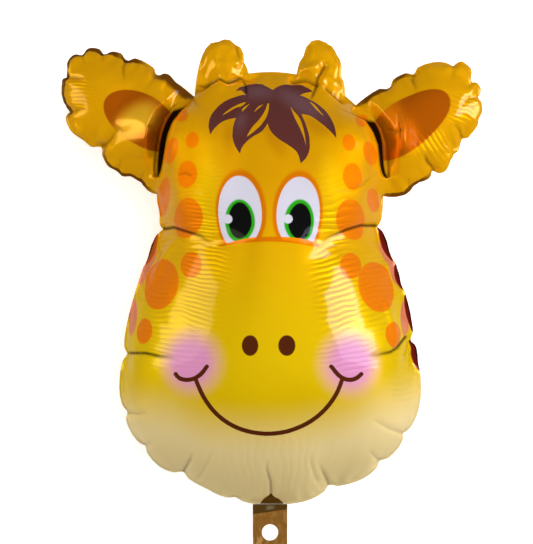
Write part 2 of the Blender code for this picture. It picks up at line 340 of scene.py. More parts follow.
@dataclass(frozen=True)
class FlatCut:
    """The film as it is cut flat: how much larger each form is before it is blown up."""

    weld_inset: float = 0.0018
    widen: float = 0.30
    lengthen: float = 0.17
    middle_height: float = 0.010
    smoothing: float = 0.012
    blend_from: float = -0.012
    blend_to: float = 0.022
    limb_room: float = 1.25

    def head(self, points: np.ndarray) -> np.ndarray:
        """Where points of the blown-up head lie on the flat film."""
        return np.column_stack([points[:, 0] * (1 + self.widen),
                                self.middle_height + (points[:, 1] - self.middle_height) * (1 + self.lengthen)])

    def spread(self, points: np.ndarray) -> np.ndarray:
        """Where points of the blown-up balloon's outline lie on the flat film.

        Args:
            points: Rows of x and y on the seam plane.

        Returns:
            Rows of x and y on the flat film.
        """
        laid = self.head(points)
        for limb in LIMBS:
            along, across = limb.own(points)
            share = np.clip((along - self.blend_from) / (self.blend_to - self.blend_from), 0, 1)
            share = ease(share) * (np.abs(across) < self.limb_room * limb.half_width)
            root = self.head(np.array([limb.root]))[0]
            way, side = limb.axes()
            own = root + np.outer(along * (1 + limb.lengthen), way) + np.outer(across * (1 + limb.widen), side)
            laid = laid * (1 - share)[:, None] + own * share[:, None]
        return laid


class Line:
    """A line through points, and how far along it each of them is."""

    def __init__(self, points: np.ndarray) -> None:
        """Measure the line."""
        self.points = points
        self.run = np.concatenate([[0], np.cumsum(np.hypot(*np.diff(points, axis=0).T))])
        self.length = float(self.run[-1])

    def at(self, places: np.ndarray) -> np.ndarray:
        """The line's points at some lengths along it."""
        return np.column_stack([np.interp(places, self.run, self.points[:, i]) for i in (0, 1)])


class Loop:
    """Closed loops of points on the seam plane."""

    @staticmethod
    def from_node(name: str) -> np.ndarray:
        """The outline of a panel's flat face on the seam plane.

        Args:
            name: The CAD node.

        Returns:
            The outline's points in order, counter-clockwise.
        """
        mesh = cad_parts[name].data
        seam = min(vert.co.z for vert in mesh.vertices)
        keys = [(round(v.co.x, 6), round(v.co.y, 6)) if v.co.z < seam + 1e-5 else None for v in mesh.vertices]
        edges: set[tuple[Point, Point]] = set()
        for face in mesh.polygons:
            corners = [keys[i] for i in face.vertices]
            if None not in corners and len(set(corners)) > 2:
                edges.update(zip(corners, corners[1:] + corners[:1]))
        followers = {here: after for here, after in edges if (after, here) not in edges}
        loop = [min(followers)]
        while followers[loop[-1]] != loop[0]:
            loop.append(followers[loop[-1]])
        points = np.array(loop)
        after = np.roll(points, -1, axis=0)
        turning = np.sum(points[:, 0] * after[:, 1] - after[:, 0] * points[:, 1])
        return points if turning > 0 else points[::-1]

    @staticmethod
    def even(points: np.ndarray, step: float) -> np.ndarray:
        """The same loop with evenly spaced points."""
        line = Line(np.vstack([points, points[:1]]))
        return line.at(np.linspace(0, line.length, max(3, round(line.length / step)), endpoint=False))

    @staticmethod
    def smooth(points: np.ndarray, reach: float, step: float) -> np.ndarray:
        """A loop of even points, smoothed over a length.

        Args:
            points: The loop's points.
            reach: The length.
            step: The points' spacing.

        Returns:
            As many points.
        """
        count = int(4 * reach / step)
        offsets = range(-count, count + 1)
        weights = np.exp(-0.5 * (np.array(offsets) * step / reach) ** 2)
        weights /= weights.sum()
        return sum(weight * np.roll(points, offset, axis=0) for offset, weight in zip(offsets, weights))

    @staticmethod
    def outward(points: np.ndarray, reach: float, step: float) -> np.ndarray:
        """Unit vectors that point out of a counter-clockwise loop, smoothed over a length."""
        way = np.roll(points, -1, axis=0) - np.roll(points, 1, axis=0)
        out = Loop.smooth(np.column_stack([way[:, 1], -way[:, 0]]), reach, step)
        return out / np.linalg.norm(out, axis=1)[:, None]

    @staticmethod
    def inside(points: np.ndarray, loop: np.ndarray) -> np.ndarray:
        """Which points lie inside a loop."""
        found = np.zeros(len(points), bool)
        for here, after in zip(loop, np.roll(loop, -1, axis=0)):
            crossed = (here[1] > points[:, 1]) != (after[1] > points[:, 1])
            if crossed.any():
                at = (after[0] - here[0]) * (points[crossed, 1] - here[1]) / (after[1] - here[1]) + here[0]
                found[np.where(crossed)[0]] ^= points[crossed, 0] < at
        return found


@dataclass(frozen=True)
class Nick:
    """A place of the rim that a tuck of the film pulls in, in the photograph's pixels.

    A depth of less than 0 pushes it out. A soft one has no sharp point.
    """

    x: float
    y: float
    depth: float
    half_width: float = 5
    soft: bool = False
    sharpness: float = 1.6

    def pull(self, points: np.ndarray) -> np.ndarray:
        """How far each point of the rim is pulled in, in metres."""
        away = np.hypot(*(points - np.array(PHOTO.place(self.x, self.y))).T) / PHOTO.metres_per_pixel
        share = np.clip(1 - (away - away.min()) / self.half_width, 0, 1)
        return self.depth * PHOTO.metres_per_pixel * (ease(share) if self.soft else share ** self.sharpness)


@dataclass(frozen=True)
class FinLobe:
    """A part of the rim where the fin is wide and shows beside the film, in pixels."""

    side: int
    top: float
    bottom: float
    reach: float
    fullness: float = 0.8
    from_middle: float = 0.1

    def width(self, points: np.ndarray) -> np.ndarray:
        """How much wider the fin is at each point of the rim.

        Args:
            points: Rows of x and y on the seam plane.

        Returns:
            The widths in metres.
        """
        row = PHOTO.middle_y - points[:, 1] / PHOTO.metres_per_pixel
        share = np.clip((row - self.top) / (self.bottom - self.top), 0, 1)
        here = (points[:, 0] - PHOTO.eye()[0]) * self.side > self.from_middle
        return here * np.sin(np.pi * share) ** self.fullness * self.reach * PHOTO.metres_per_pixel


NICKS = tuple(Nick(*row) for row in ((155.7, 76, 3.2), (125, 61.4, 3.4), (103, 54, 2.6, 6), (82, 54, 2.6, 4),
    (66.8, 77.5, 3), (68.4, 112.7, 3.4), (102, 148, 3.4), (119, 168, 1.6), (140, 181.6, 1.6), (385, 82, 3),
    (414, 73.5, 3), (454, 67.5, 2.8), (473, 82, 2.4), (476, 97.6, 2), (463, 139.8, 3.2), (455, 155, 1.6),
    (432, 170.6, 3.2), (410, 187, 1.4), (161, 229, 1.6, 4), (376, 226, 1.2, 4), (129.5, 353, 1.5, 5),
    (406, 338, 1.6, 5), (127, 413, 1.2), (146, 446, 1), (184, 471.5, 1.6), (404, 434, 1.2), (382, 463, 1.2),
    (330, 486, 1.8), (92, 50, -4, 13, True), (75, 51.5, -5, 13, True), (64, 66, -3, 14, True),
    (165, 78, -3, 10, True), (69, 127, -4.5, 18, True), (101, 154, 2.5, 12, True), (139, 183, 5, 14, True),
    (465, 65, -6, 14, True), (481, 88, -2.5, 14, True), (480, 118, -2.5, 16, True), (441, 168, -5.5, 14, True),
    (419, 186, 4, 12, True), (328, 42, 2.5, 14, True), (196, 482, 5, 36, True), (335, 488, 3.5, 36, True),
    (158, 214, 2, 14, True)))
FIN_LOBES = tuple(FinLobe(*row) for row in ((1, 227, 262, 7), (1, 264, 290, 5), (1, 294, 332, 4.5), (1, 339, 371, 7),
    (-1, 234, 266, 5.5)))


class Weld(Line):
    """The weld line on the seam plane, as a closed curve."""

    def __init__(self, outline: np.ndarray, inset: float, step: float = 0.0006) -> None:
        """Set the weld in from the outline.

        Args:
            outline: The balloon's outer outline.
            inset: How far the weld lies inside it.
            step: The spacing of the curve's points.
        """
        outer = Loop.even(outline, step)
        out = Loop.outward(outer, 4 * step, step)
        pulled = sum(nick.pull(outer) for nick in NICKS) + sum(lobe.width(outer) for lobe in FIN_LOBES)
        points = outer - out * (inset + pulled)[:, None]
        super().__init__(np.vstack([points, points[:1]]))

    def at(self, places: np.ndarray) -> np.ndarray:
        """The curve's points at some lengths along it, round and round."""
        return super().at(np.mod(places, self.length))


@dataclass
class Film:
    """One sheet of film: its blown-up points, the same points on the flat cut, its faces and its rim."""

    shape: np.ndarray
    flat: np.ndarray
    faces: np.ndarray
    rim: np.ndarray
    places: np.ndarray
    weld: Weld
    # Painted shade that the folds leave along their lines
    shade: Optional[np.ndarray] = None

    def edges(self) -> tuple[np.ndarray, np.ndarray]:
        """The edges, and for each side of each face the edge that it is."""
        sides = np.vstack([self.faces[:, [0, 1]], self.faces[:, [1, 2]], self.faces[:, [2, 0]]])
        found, which = np.unique(np.sort(sides, axis=1), axis=0, return_inverse=True)
        return found, which.reshape(-1)

    def from_rim(self) -> np.ndarray:
        """How far each point of the flat film is from its rim."""
        return gaps(self.flat, self.flat[self.rim])

    @staticmethod
    def around(edges: np.ndarray, data: np.ndarray) -> tuple[np.ndarray, np.ndarray]:
        """The sum of each point's neighbours, and how many it has."""
        count = len(data)
        total = [np.bincount(edges[:, 0], column[edges[:, 1]], count)
                 + np.bincount(edges[:, 1], column[edges[:, 0]], count) for column in data.T]
        return np.column_stack(total), np.bincount(edges.ravel(), minlength=count)[:, None]

    def smoothed(self, rounds: int) -> np.ndarray:
        """The blown-up points with their wrinkles smoothed away.

        Args:
            rounds: How often each point moves towards its neighbours.

        Returns:
            The points. Those of the rim stay where they are.
        """
        edges, _ = self.edges()
        shape = self.shape.copy()
        held = np.isin(np.arange(len(shape)), self.rim)[:, None]
        for _ in range(rounds):
            total, degree = self.around(edges, shape)
            shape = np.where(held, shape, (shape + total / degree) / 2)
        return shape

    def normals(self) -> np.ndarray:
        """The unit normal of each point.

        Returns:
            Rows of x, y and z.
        """
        a, b, c = (self.shape[self.faces[:, i]] for i in range(3))
        across = np.cross(b - a, c - a)
        total = np.zeros_like(self.shape)
        for corner in range(3):
            for axis in range(3):
                total[:, axis] += np.bincount(self.faces[:, corner], across[:, axis], len(self.shape))
        return total / np.maximum(np.linalg.norm(total, axis=1), 1e-12)[:, None]

    def refined(self) -> "Film":
        """The film with each face cut into four, on a smooth surface through its points.

        Returns:
            The finer film, whose flat points lie midway on the flat edges.
        """
        edges, which = self.edges()
        data = np.hstack([self.shape, self.flat])
        count = len(data)
        opposite = np.concatenate([self.faces[:, 2], self.faces[:, 0], self.faces[:, 1]])
        across = np.column_stack([np.bincount(which, column[opposite], len(edges)) for column in data.T])
        ends = data[edges[:, 0]] + data[edges[:, 1]]
        inner = (np.bincount(which, minlength=len(edges)) == 2)[:, None]
        middles = np.where(inner, 3 / 8 * ends + across / 8, ends / 2)
        middles[:, 3:] = ends[:, 3:] / 2
        total, degree = self.around(edges, data)
        moved = 5 / 8 * data + 3 / 8 * total / degree
        moved[self.rim] = data[self.rim]
        moved[:, 3:] = data[:, 3:]
        third = len(self.faces)
        ab, bc, ca = (which[i * third:(i + 1) * third] + count for i in range(3))
        a, b, c = self.faces.T
        faces = np.vstack([np.column_stack(t) for t in ((a, ab, ca), (ab, b, bc), (ca, bc, c), (ab, bc, ca))])
        links = {tuple(edge): number for number, edge in enumerate(edges.tolist())}
        sides = zip(self.rim.tolist(), np.roll(self.rim, -1).tolist())
        between = [links[(min(side), max(side))] + count for side in sides]
        rim = np.column_stack([self.rim, between]).ravel()
        gap = np.mod(np.roll(self.places, -1) - self.places, self.weld.length)
        places = np.column_stack([self.places, self.places + gap / 2]).ravel()
        both = np.vstack([moved, middles])
        both[rim, :2] = self.weld.at(places)
        both[rim, 2] = 0
        return Film(both[:, :3], both[:, 3:], faces, rim, places, self.weld)


@dataclass(frozen=True)
class Inflation:
    """How the flat film is gathered along the weld and blown up."""

    step: float = 0.0075
    rim_share: float = 0.8
    rim_room: float = 0.6
    frames: int = 36
    gather_share: float = 0.55
    start_height: float = 0.002
    start_roughness: float = 0.0004
    seed: int = 3
    cloth: tuple[tuple[str, object], ...] = (
        ("vertex_group_mass", "weld"), ("pin_stiffness", 1), ("quality", 6), ("mass", 0.1),
        ("tension_stiffness", 80.0), ("compression_stiffness", 20.0), ("shear_stiffness", 20.0),
        ("bending_stiffness", 0.3), ("use_pressure", True), ("uniform_pressure_force", 25.0))

    def cut(self, cut: FlatCut, outline: np.ndarray) -> Film:
        """Triangulate the flat film.

        Args:
            cut: How the film is cut.
            outline: The balloon's outer outline on the seam plane.

        Returns:
            The flat film.
        """
        step = self.step * self.rim_share
        weld = Weld(outline, cut.weld_inset)
        places = np.linspace(0, weld.length, round(weld.length / step), endpoint=False)
        edge = Loop.smooth(cut.spread(weld.at(places)), cut.smoothing, step)
        low, high = edge.min(axis=0), edge.max(axis=0)
        rows = np.arange(low[1], high[1], self.step * math.sqrt(3) / 2)
        columns = np.arange(low[0], high[0], self.step)
        grid = np.vstack([np.column_stack([columns + row % 2 * self.step / 2, np.full(len(columns), y)])
                          for row, y in enumerate(rows)])
        grid = grid[Loop.inside(grid, edge)]
        grid = grid[gaps(grid, edge) > self.rim_room * self.step]
        rim = list(range(len(edge)))
        found = delaunay_2d_cdt([Vector(p) for p in np.vstack([edge, grid])], list(zip(rim, rim[1:] + rim[:1])),
                                [rim], 1, 1e-7)
        flat = np.array([tuple(p) for p in found[0]])
        number_of = {origin: number for number, origins in enumerate(found[3]) for origin in origins}
        faces = np.array([list(face) for face in found[2]])
        a, b, c = (flat[faces[:, i]] for i in range(3))
        turned = (b[:, 0] - a[:, 0]) * (c[:, 1] - a[:, 1]) - (b[:, 1] - a[:, 1]) * (c[:, 0] - a[:, 0]) < 0
        faces[turned] = faces[turned][:, ::-1]
        rim_now = np.array([number_of[i] for i in rim])
        lifts = np.random.default_rng(self.seed).random(len(flat)) * self.start_roughness + self.start_height
        lifts[rim_now] = 0
        return Film(np.column_stack([flat, lifts]), flat, faces, rim_now, places, weld)

    def blow_up(self, film: Film) -> Film:
        """Gather the flat film's rim onto the weld and blow it up with gas.

        Args:
            film: The flat film.

        Returns:
            The same film, blown up.
        """
        mesh = bpy.data.meshes.new("film_blank")
        mesh.from_pydata(film.shape.tolist(), [], film.faces.tolist())
        blank = placed("film_blank", mesh)
        blank.shape_key_add(name="Basis")
        gathered = blank.shape_key_add(name="gathered")
        for number, place in zip(film.rim.tolist(), film.weld.at(film.places)):
            gathered.data[number].co = (place[0], place[1], 0)
        for share, number in ((0, 1), (1, round(self.gather_share * self.frames))):
            gathered.value = share
            gathered.keyframe_insert("value", frame=number)
        blank.vertex_groups.new(name="weld").add(film.rim.tolist(), 1.0, "REPLACE")
        cloth = blank.modifiers.new("film", "CLOTH")
        for name, setting in self.cloth:
            setattr(cloth.settings, name, setting)
        cloth.settings.effector_weights.gravity = 0
        cloth.collision_settings.use_collision = False
        cloth.collision_settings.use_self_collision = False
        cloth.point_cache.frame_start = 1
        cloth.point_cache.frame_end = self.frames
        for number in range(1, self.frames + 1):
            bpy.context.scene.frame_set(number)
        blown = blank.evaluated_get(bpy.context.evaluated_depsgraph_get())
        shape = np.empty(len(film.shape) * 3)
        blown.data.vertices.foreach_get("co", shape)
        bpy.data.objects.remove(blank, do_unlink=True)
        bpy.context.scene.frame_set(1)
        return replace(film, shape=shape.reshape(-1, 3))


class Taper(Enum):
    """How a fold fades along its line."""

    FROM_START = 1
    BOTH_ENDS = 2
    NONE = 3


@dataclass(frozen=True)
class Fold:
    """A fold of the film along a line of the photograph.

    It goes in by its depth in millimetres, or out if that is less than 0. Its widths are in
    pixels, to the left and to the right of the line. A power of 2 makes it sharp.
    """

    line: tuple[Point, ...]
    depth: float
    left: float
    right: float
    taper: Taper = Taper.FROM_START
    power: float = 2
    # Painted shade that darkens the print along the line, and its width in pixels
    shade: float = 0.5
    shade_width: float = 1.6

    def press(self, seen: np.ndarray) -> tuple[np.ndarray, np.ndarray]:
        """How deep the fold goes and how much painted shade it leaves at points.

        Args:
            seen: The pixels at which the points show.

        Returns:
            The depths in metres, and the painted shade from 0 to 1.
        """
        line = np.array(self.line, float)
        lengths = np.hypot(*np.diff(line, axis=0).T)
        total = lengths.sum()
        nearest = np.full(len(seen), np.inf)
        share = np.zeros(len(seen))
        width = np.full(len(seen), self.left)
        run = 0.0
        for here, after, length in zip(line, line[1:], lengths):
            way = (after - here) / length
            away = seen - here
            along = np.clip(away @ way, 0, length)
            far = np.hypot(*(away - np.outer(along, way)).T)
            side = way[0] * away[:, 1] - way[1] * away[:, 0]
            closer = far < nearest
            nearest = np.where(closer, far, nearest)
            share = np.where(closer, (run + along) / total, share)
            width = np.where(closer, np.where(side < 0, self.left, self.right), width)
            run += length
        profile = np.clip(1 - nearest / width, 0, 1)
        profile = profile ** self.power if self.power > 1 else ease(profile)
        fade = {Taper.FROM_START: 1 - share ** 1.5, Taper.BOTH_ENDS: np.sin(np.pi * share) ** 0.7,
                Taper.NONE: np.ones(len(seen))}[self.taper]
        # Painted shade close to the line
        dark = np.clip(1.5 - nearest / self.shade_width, 0, 1) * self.shade
        return self.depth / 1000 * profile * fade, dark * np.minimum(1, 1.6 * fade)


# A broad bend without painted shade, and a short fold with a little painted shade
BROAD = (Taper.BOTH_ENDS, 1, 0)
SHORT = (Taper.BOTH_ENDS, 2, 0.4)
TEMPLES = (
    Fold(((196, 104), (187, 122), (181, 150), (180, 180), (184, 205), (190, 226), (194, 246)), -25, 66, 34, *BROAD),
    Fold(((342, 104), (350, 122), (356, 150), (357, 180), (353, 205), (347, 226), (343, 246)), -25, 34, 66, *BROAD),
    Fold(((188, 106), (177, 126), (172, 146), (171, 172)), -13, 46, 12, *BROAD),
    Fold(((352, 108), (363, 128), (369, 148), (370, 172)), -13, 12, 46, *BROAD))
CHEEK_SIDES = (
    Fold(((194, 230), (188, 248), (182, 266), (176, 290), (172, 314)), -5.5, 60, 28, *BROAD),
    Fold(((343, 230), (350, 248), (356, 266), (362, 290), (366, 314)), -5.5, 28, 60, *BROAD))
LEFT_EAR_ROOT = ((189, 99), (177, 107), (167, 118), (161.5, 132), (158.7, 147), (157, 163), (156, 178))
RIGHT_EAR_ROOT = ((352, 107), (370, 116), (379, 129), (384, 143), (385.2, 160), (387, 178))
EAR_ROOTS = (
    Fold(((167, 101), (155, 110), (149, 122), (146.5, 138), (147, 158)), -14, 10, 34, Taper.BOTH_ENDS, 1.5, 0),
    Fold(((392, 103), (399, 115), (403, 130), (404, 158)), -7, 14, 12, Taper.BOTH_ENDS, 1.5, 0),
    Fold(LEFT_EAR_ROOT, 60, 7, 4, Taper.BOTH_ENDS, 1.2, 0), Fold(LEFT_EAR_ROOT, 20, 6, 15, *BROAD),
    Fold(RIGHT_EAR_ROOT, 60, 4, 7, Taper.BOTH_ENDS, 1.2, 0), Fold(RIGHT_EAR_ROOT, 20, 15, 6, *BROAD))
EAR_FOLDS = (
    Fold(((125.5, 61), (123.3, 66), (123.5, 72), (124.5, 82)), 3.4, 9, 9),
    Fold(((65.5, 77), (75, 77.5), (86, 79)), 3.4, 9, 9), Fold(((67.5, 112.5), (76, 110.5), (87, 109.5)), 3.6, 9, 9),
    Fold(((101.5, 147.5), (108, 143), (113.5, 136), (120, 127)), 6, 10, 10),
    Fold(((155.5, 76), (150, 83), (143.5, 90.5)), 2.6, 8, 8, shade=0.15),
    Fold(((82.5, 53.8), (84, 64)), 2.6, 8, 8, shade=0.2), Fold(((102, 53), (102, 63)), 2.6, 8, 8, shade=0.2),
    Fold(((119, 168), (122, 158)), 2.4, 8, 8, shade=0.2), Fold(((140, 181), (144, 171)), 2.4, 8, 8, shade=0.2),
    Fold(((119, 128), (132, 120), (147, 118)), -3, 12, 12, *BROAD), Fold(((147, 125), (157, 130)), 1.8, 5, 5, *SHORT),
    Fold(((414, 73), (412, 78), (415, 86), (416, 93)), 3.6, 9, 9),
    Fold(((454, 68), (452, 80)), 2.6, 9, 9, shade=0.15), Fold(((388, 80), (391, 90)), 2.6, 9, 9, shade=0.2),
    Fold(((475.8, 97), (469, 97.5), (460, 108)), 2.8, 8, 8, shade=0.2),
    Fold(((473, 82), (466, 88)), 2, 7, 7, shade=0.1), Fold(((463, 140), (461, 132), (454, 123)), 4.2, 9, 9),
    Fold(((455, 155), (450, 149)), 2, 7, 7, shade=0.1),
    Fold(((433, 169), (428, 163), (424, 152)), 5.5, 10, 10, shade=0.7),
    Fold(((410, 187), (407, 177)), 2.4, 8, 8, shade=0.2), Fold(((385, 129), (394, 131), (404, 129)), 2, 5, 5, *SHORT),
    Fold(((400, 112), (403, 128), (404, 150)), -2.4, 7, 5, *BROAD))
HEAD_FOLDS = (
    Fold(((160, 229), (172, 227.5), (187, 232), (200, 236), (215, 247)), 3.6, 7, 9, shade=0.9),
    Fold(((377, 226), (362, 226), (347, 230), (330, 237), (318, 246)), 3.6, 9, 7, shade=0.9),
    Fold(((129.5, 353), (145, 353), (161, 356.5), (178, 358)), 2.4, 7, 8, shade=0.9),
    Fold(((184, 232), (172, 245), (163, 259), (156, 274), (150, 290)), -2.2, 6, 6, *BROAD),
    Fold(((382, 292), (388, 306), (392, 320), (395, 334), (397, 346)), -1.8, 6, 6, *BROAD),
    Fold(((407, 337), (398, 348), (391, 352), (377, 355), (366, 356)), 3.2, 8, 8, shade=0.9),
    Fold(((127, 413), (136, 414), (148, 413)), 2.2, 7, 7, shade=0.35, shade_width=1.2),
    Fold(((146, 446), (152, 441)), 2, 6, 6, shade=0.1),
    Fold(((183, 472), (189, 462), (193, 452)), 2.6, 6, 6, shade_width=1.2),
    Fold(((330, 487), (324, 474), (319, 462)), 2.6, 6, 6, shade_width=1.2),
    Fold(((404, 434), (390, 429), (370, 418)), 2.4, 6, 8, shade=0.3, shade_width=1.2),
    Fold(((382, 463), (374, 456), (368, 449)), 2, 6, 6, shade=0.2, shade_width=1.2),
    Fold(((271, 497), (270.5, 482), (267, 470), (268, 458)), 3, 5, 5, shade_width=1.2),
    Fold(((316, 480), (312, 466), (310, 452)), 1.4, 5, 5, shade=0.1),
    Fold(((200, 478), (208, 462), (214, 446)), 1.2, 5, 5, shade=0.1),
    Fold(((177, 175), (185, 173.5), (193, 176)), 1.6, 4, 4, Taper.BOTH_ENDS, 2, 0.4, 1),
    Fold(((346, 186), (354, 189), (363, 186), (372, 176)), 2.4, 5, 5, Taper.BOTH_ENDS, 2, 0.3, 1),
    Fold(((192, 99), (199, 108)), 2, 5, 5, shade=0.3))
HORN_FOLDS = (
    Fold(((199, 86), (209, 79.5), (218, 76), (229.5, 79.5), (242, 76), (249, 77)), 11, 14, 8, Taper.NONE, 1.6, 0.75),
    Fold(((292, 79), (305, 77.5), (316, 81)), 8, 6, 8, Taper.NONE, 1.6, 0.6),
    Fold(((324.5, 66), (320, 73), (315.5, 80)), 6, 6, 7, Taper.NONE, 1.6, 0.75),
    Fold(((317.8, 82.8), (313, 94), (308.6, 104)), 3, 4, 4, shade=0.75),
    Fold(((245, 80), (246, 90), (247, 99)), 3, 4, 4, shade=0.75),
    Fold(((328, 86), (335, 92), (344, 99)), 8, 9, 7, Taper.NONE, 1.6, 0.6),
    Fold(((296, 72), (308, 69.5), (321, 65)), -5, 8, 7, *BROAD),
    Fold(((220, 77), (221, 84), (222, 92)), -2, 7, 7, Taper.FROM_START, 1, 0),
    Fold(((216, 52), (215.5, 62), (216, 71)), -2, 6, 6, Taper.BOTH_ENDS, 2, 0),
    Fold(((236, 42), (238, 52), (240, 60)), 2, 5, 5, Taper.BOTH_ENDS, 2, 0.5))


@dataclass(frozen=True)
class Finishing:
    """How the blown-up film is drawn smooth inside and folded at its notches."""

    rounds: int = 36
    rim_reach: float = 0.016
    head_keeps: float = 0.08
    head_rim_keeps: float = 0.45
    limb_keeps: float = 0.14
    limb_from: float = 0.03
    limb_room: float = 1.3
    folds_start: float = 0.004
    root_share: float = 0.86
    crown_from: float = 0.088
    crown_to: float = 0.238
    crown_bend: float = 1.3
    crown_drop: float = 0.20
    limb_top: float = 0.028

    def draw(self, film: Film) -> Film:
        """Draw the film smooth, except along its rim and on its ears and horns.

        Args:
            film: The film as blown up.

        Returns:
            The smoother film.
        """
        base = film.smoothed(self.rounds)
        near = np.exp(-(film.from_rim() / self.rim_reach) ** 2)
        limb = np.zeros(len(near))
        for each in LIMBS:
            along, across = each.own(film.shape[:, :2])
            here = np.abs(across) < self.limb_room * each.half_width
            limb = np.maximum(limb, np.clip(along / self.limb_from, 0, 1) * here)
        keep = self.head_keeps + (self.limb_keeps - self.head_keeps) * limb
        at_rim = self.head_rim_keeps + (1 - self.head_rim_keeps) * limb
        keep = keep + (at_rim - keep) * near
        shape = base + (film.shape - base) * keep[:, None]
        up = np.clip((shape[:, 1] - self.crown_from) / (self.crown_to - self.crown_from), 0, 1) ** self.crown_bend
        shape[:, 2] *= 1 - self.crown_drop * (up * (1 - limb))
        flatter = self.limb_top * np.tanh(shape[:, 2] / self.limb_top)
        shape[:, 2] += (flatter - shape[:, 2]) * limb
        return self.fold(replace(film, shape=shape), TEMPLES + CHEEK_SIDES, straight=True)

    def fold(self, film: Film, folds: Iterable[Fold], straight: bool = False) -> Film:
        """Press folds into the film.

        Args:
            film: The film in fine faces.
            folds: The folds.
            straight: Whether they go straight down, or else along the film's normal.

        Returns:
            The folded film.
        """
        seen = PHOTO.seen(film.shape)
        pressed = [fold.press(seen) for fold in folds]
        depth = sum(each[0] for each in pressed)
        shade = np.maximum.reduce([each[1] for each in pressed])
        depth = depth * np.clip(film.from_rim() / self.folds_start, 0, 1)
        if straight:
            depth = np.minimum(depth, self.root_share * film.shape[:, 2])
        way = np.array([0.0, 0.0, 1.0]) if straight else film.normals()
        shape = film.shape - way * depth[:, None]
        shape[:, 2] = np.maximum(shape[:, 2], 0.0)
        shade = np.maximum(film.shade, shade) if film.shade is not None else shade
        return replace(film, shape=shape, shade=shade)


@dataclass(frozen=True)
class Spot:
    """An ellipse of the print, in the photograph's pixels."""

    x: float
    y: float
    half_width: float
    half_height: float
    lean: float = 0


def spots(*rows: tuple[float, ...]) -> tuple[Spot, ...]:
    """Ellipses, each from a row of its sizes."""
    return tuple(Spot(*row) for row in rows)


class PrintMap:
    """Finds where a pixel of the photograph lies on the flat film."""

    ROUNDS = 6
    REACH = 5.0
    NEIGHBOURS = 60
    LEAST_NEIGHBOURS = 8
    RING_POINTS = 16

    def __init__(self, film: Film) -> None:
        """Look at the smoothed front film from the camera."""
        self.seen = PHOTO.seen(film.smoothed(self.ROUNDS))
        self.flat = film.flat

    def fit(self, x: Number, y: Number) -> tuple[np.ndarray, np.ndarray]:
        """The flat film's point at a pixel, and how it moves with the pixel.

        Args:
            x: Pixels from the left edge.
            y: Pixels from the top edge.

        Returns:
            The point, and two columns of metres for each pixel right and down.
        """
        away = self.seen - np.array([x, y])
        far = np.hypot(*away.T)
        near = np.argsort(far)[:self.NEIGHBOURS]
        reach = max(self.REACH, far[near[self.LEAST_NEIGHBOURS]])
        weights = np.exp(-0.5 * (far[near] / reach) ** 2)[:, None]
        sides = np.column_stack([np.ones(len(near)), away[near]])
        found = np.linalg.lstsq(sides * weights, self.flat[near] * weights, rcond=None)[0]
        return found[0], found[1:].T

    def point(self, x: Number, y: Number) -> np.ndarray:
        """The flat film's point at a pixel."""
        return self.fit(x, y)[0]

    def ellipse(self, spot: Spot, exact: bool = False) -> tuple[np.ndarray, np.ndarray, float]:
        """An ellipse of the photograph as one on the flat film.

        Args:
            spot: The ellipse.
            exact: Whether it fits points all round the ellipse, or else the slopes at its centre.

        Returns:
            The centre, the two half axes and the first axis's angle.
        """
        turn = math.radians(spot.lean)
        own = np.array([[math.cos(turn), -math.sin(turn)], [math.sin(turn), math.cos(turn)]])
        own = own @ np.diag([spot.half_width, spot.half_height])
        if exact:
            angles = np.linspace(0, 2 * math.pi, self.RING_POINTS, endpoint=False)
            circle = np.column_stack([np.cos(angles), np.sin(angles)])
            laid = np.array([self.point(*place) for place in circle @ own.T + (spot.x, spot.y)])
            centre = laid.mean(axis=0)
            stretch = (laid - centre).T @ circle / (self.RING_POINTS / 2)
        else:
            centre, rate = self.fit(spot.x, spot.y)
            stretch = rate @ own
        axes, sizes, _ = np.linalg.svd(stretch)
        return centre, sizes, math.atan2(axes[1, 0], axes[0, 0])


class Ink(Enum):
    """The print's inks, and the colours of painted highlights, reflection and shade, as linear colours."""

    GOLD = (0.92, 0.43, 0.001, 1)
    YELLOW = (0.92, 0.60, 0.001, 1)
    CREAM = (0.90, 0.70, 0.31, 1)
    ORANGE = (1, 0.25, 0.001, 1)
    EAR_ORANGE = (0.80, 0.17, 0.001, 1)
    # Painted highlight on the left ear's patch
    EAR_PAINTED_HIGHLIGHT_YELLOW = (1, 0.52, 0.02, 1)
    # Painted highlight on the right ear's rolls
    EAR_ROLL_PAINTED_HIGHLIGHT = (1, 0.26, 0.001, 1)
    # Painted sheen on the tuft
    PAINTED_SHEEN_MAUVE = (0.15, 0.075, 0.085, 1)
    # Painted highlight on the temples
    PAINTED_HIGHLIGHT_YELLOW = (1, 0.60, 0.002, 1)
    DARK_GOLD = (0.74, 0.29, 0.001, 1)
    FOIL_BROWN = (0.13, 0.055, 0.004, 1)
    # Orange paled to salmon as a painted reflection, for the spots by the seam
    PAINTED_REFLECTION_SALMON = (0.90, 0.28, 0.12, 1)
    BROWN = (0.105, 0.028, 0.024, 1)
    DARK_BROWN = (0.072, 0.014, 0.003, 1)
    WHITE = (0.56, 0.54, 0.61, 1)
    BLACK = (0.004, 0.004, 0.004, 1)
    GREEN = (0.02, 0.32, 0.008, 1)
    PINK = (0.64, 0.23, 0.50, 1)
    LINE_ORANGE = (0.86, 0.22, 0, 1)
    # Painted shade in dark brown on the ears' rims
    RIM_PAINTED_SHADE = (0.15, 0.05, 0.002, 1)
    # The fin's orange print darkened to dark red as painted shade, on the right lobes
    LOBE_RED_PAINTED_SHADE = (0.20, 0.006, 0.003, 1)
    # The fin's orange print darkened a little as painted shade, on the left lobes
    LOBE_ORANGE = (0.70, 0.12, 0.006, 1)
    # Near-black painted shade, in gaps, folds and the fin lobes' outer edge
    CREASE = (0.012, 0.003, 0.0005, 1)


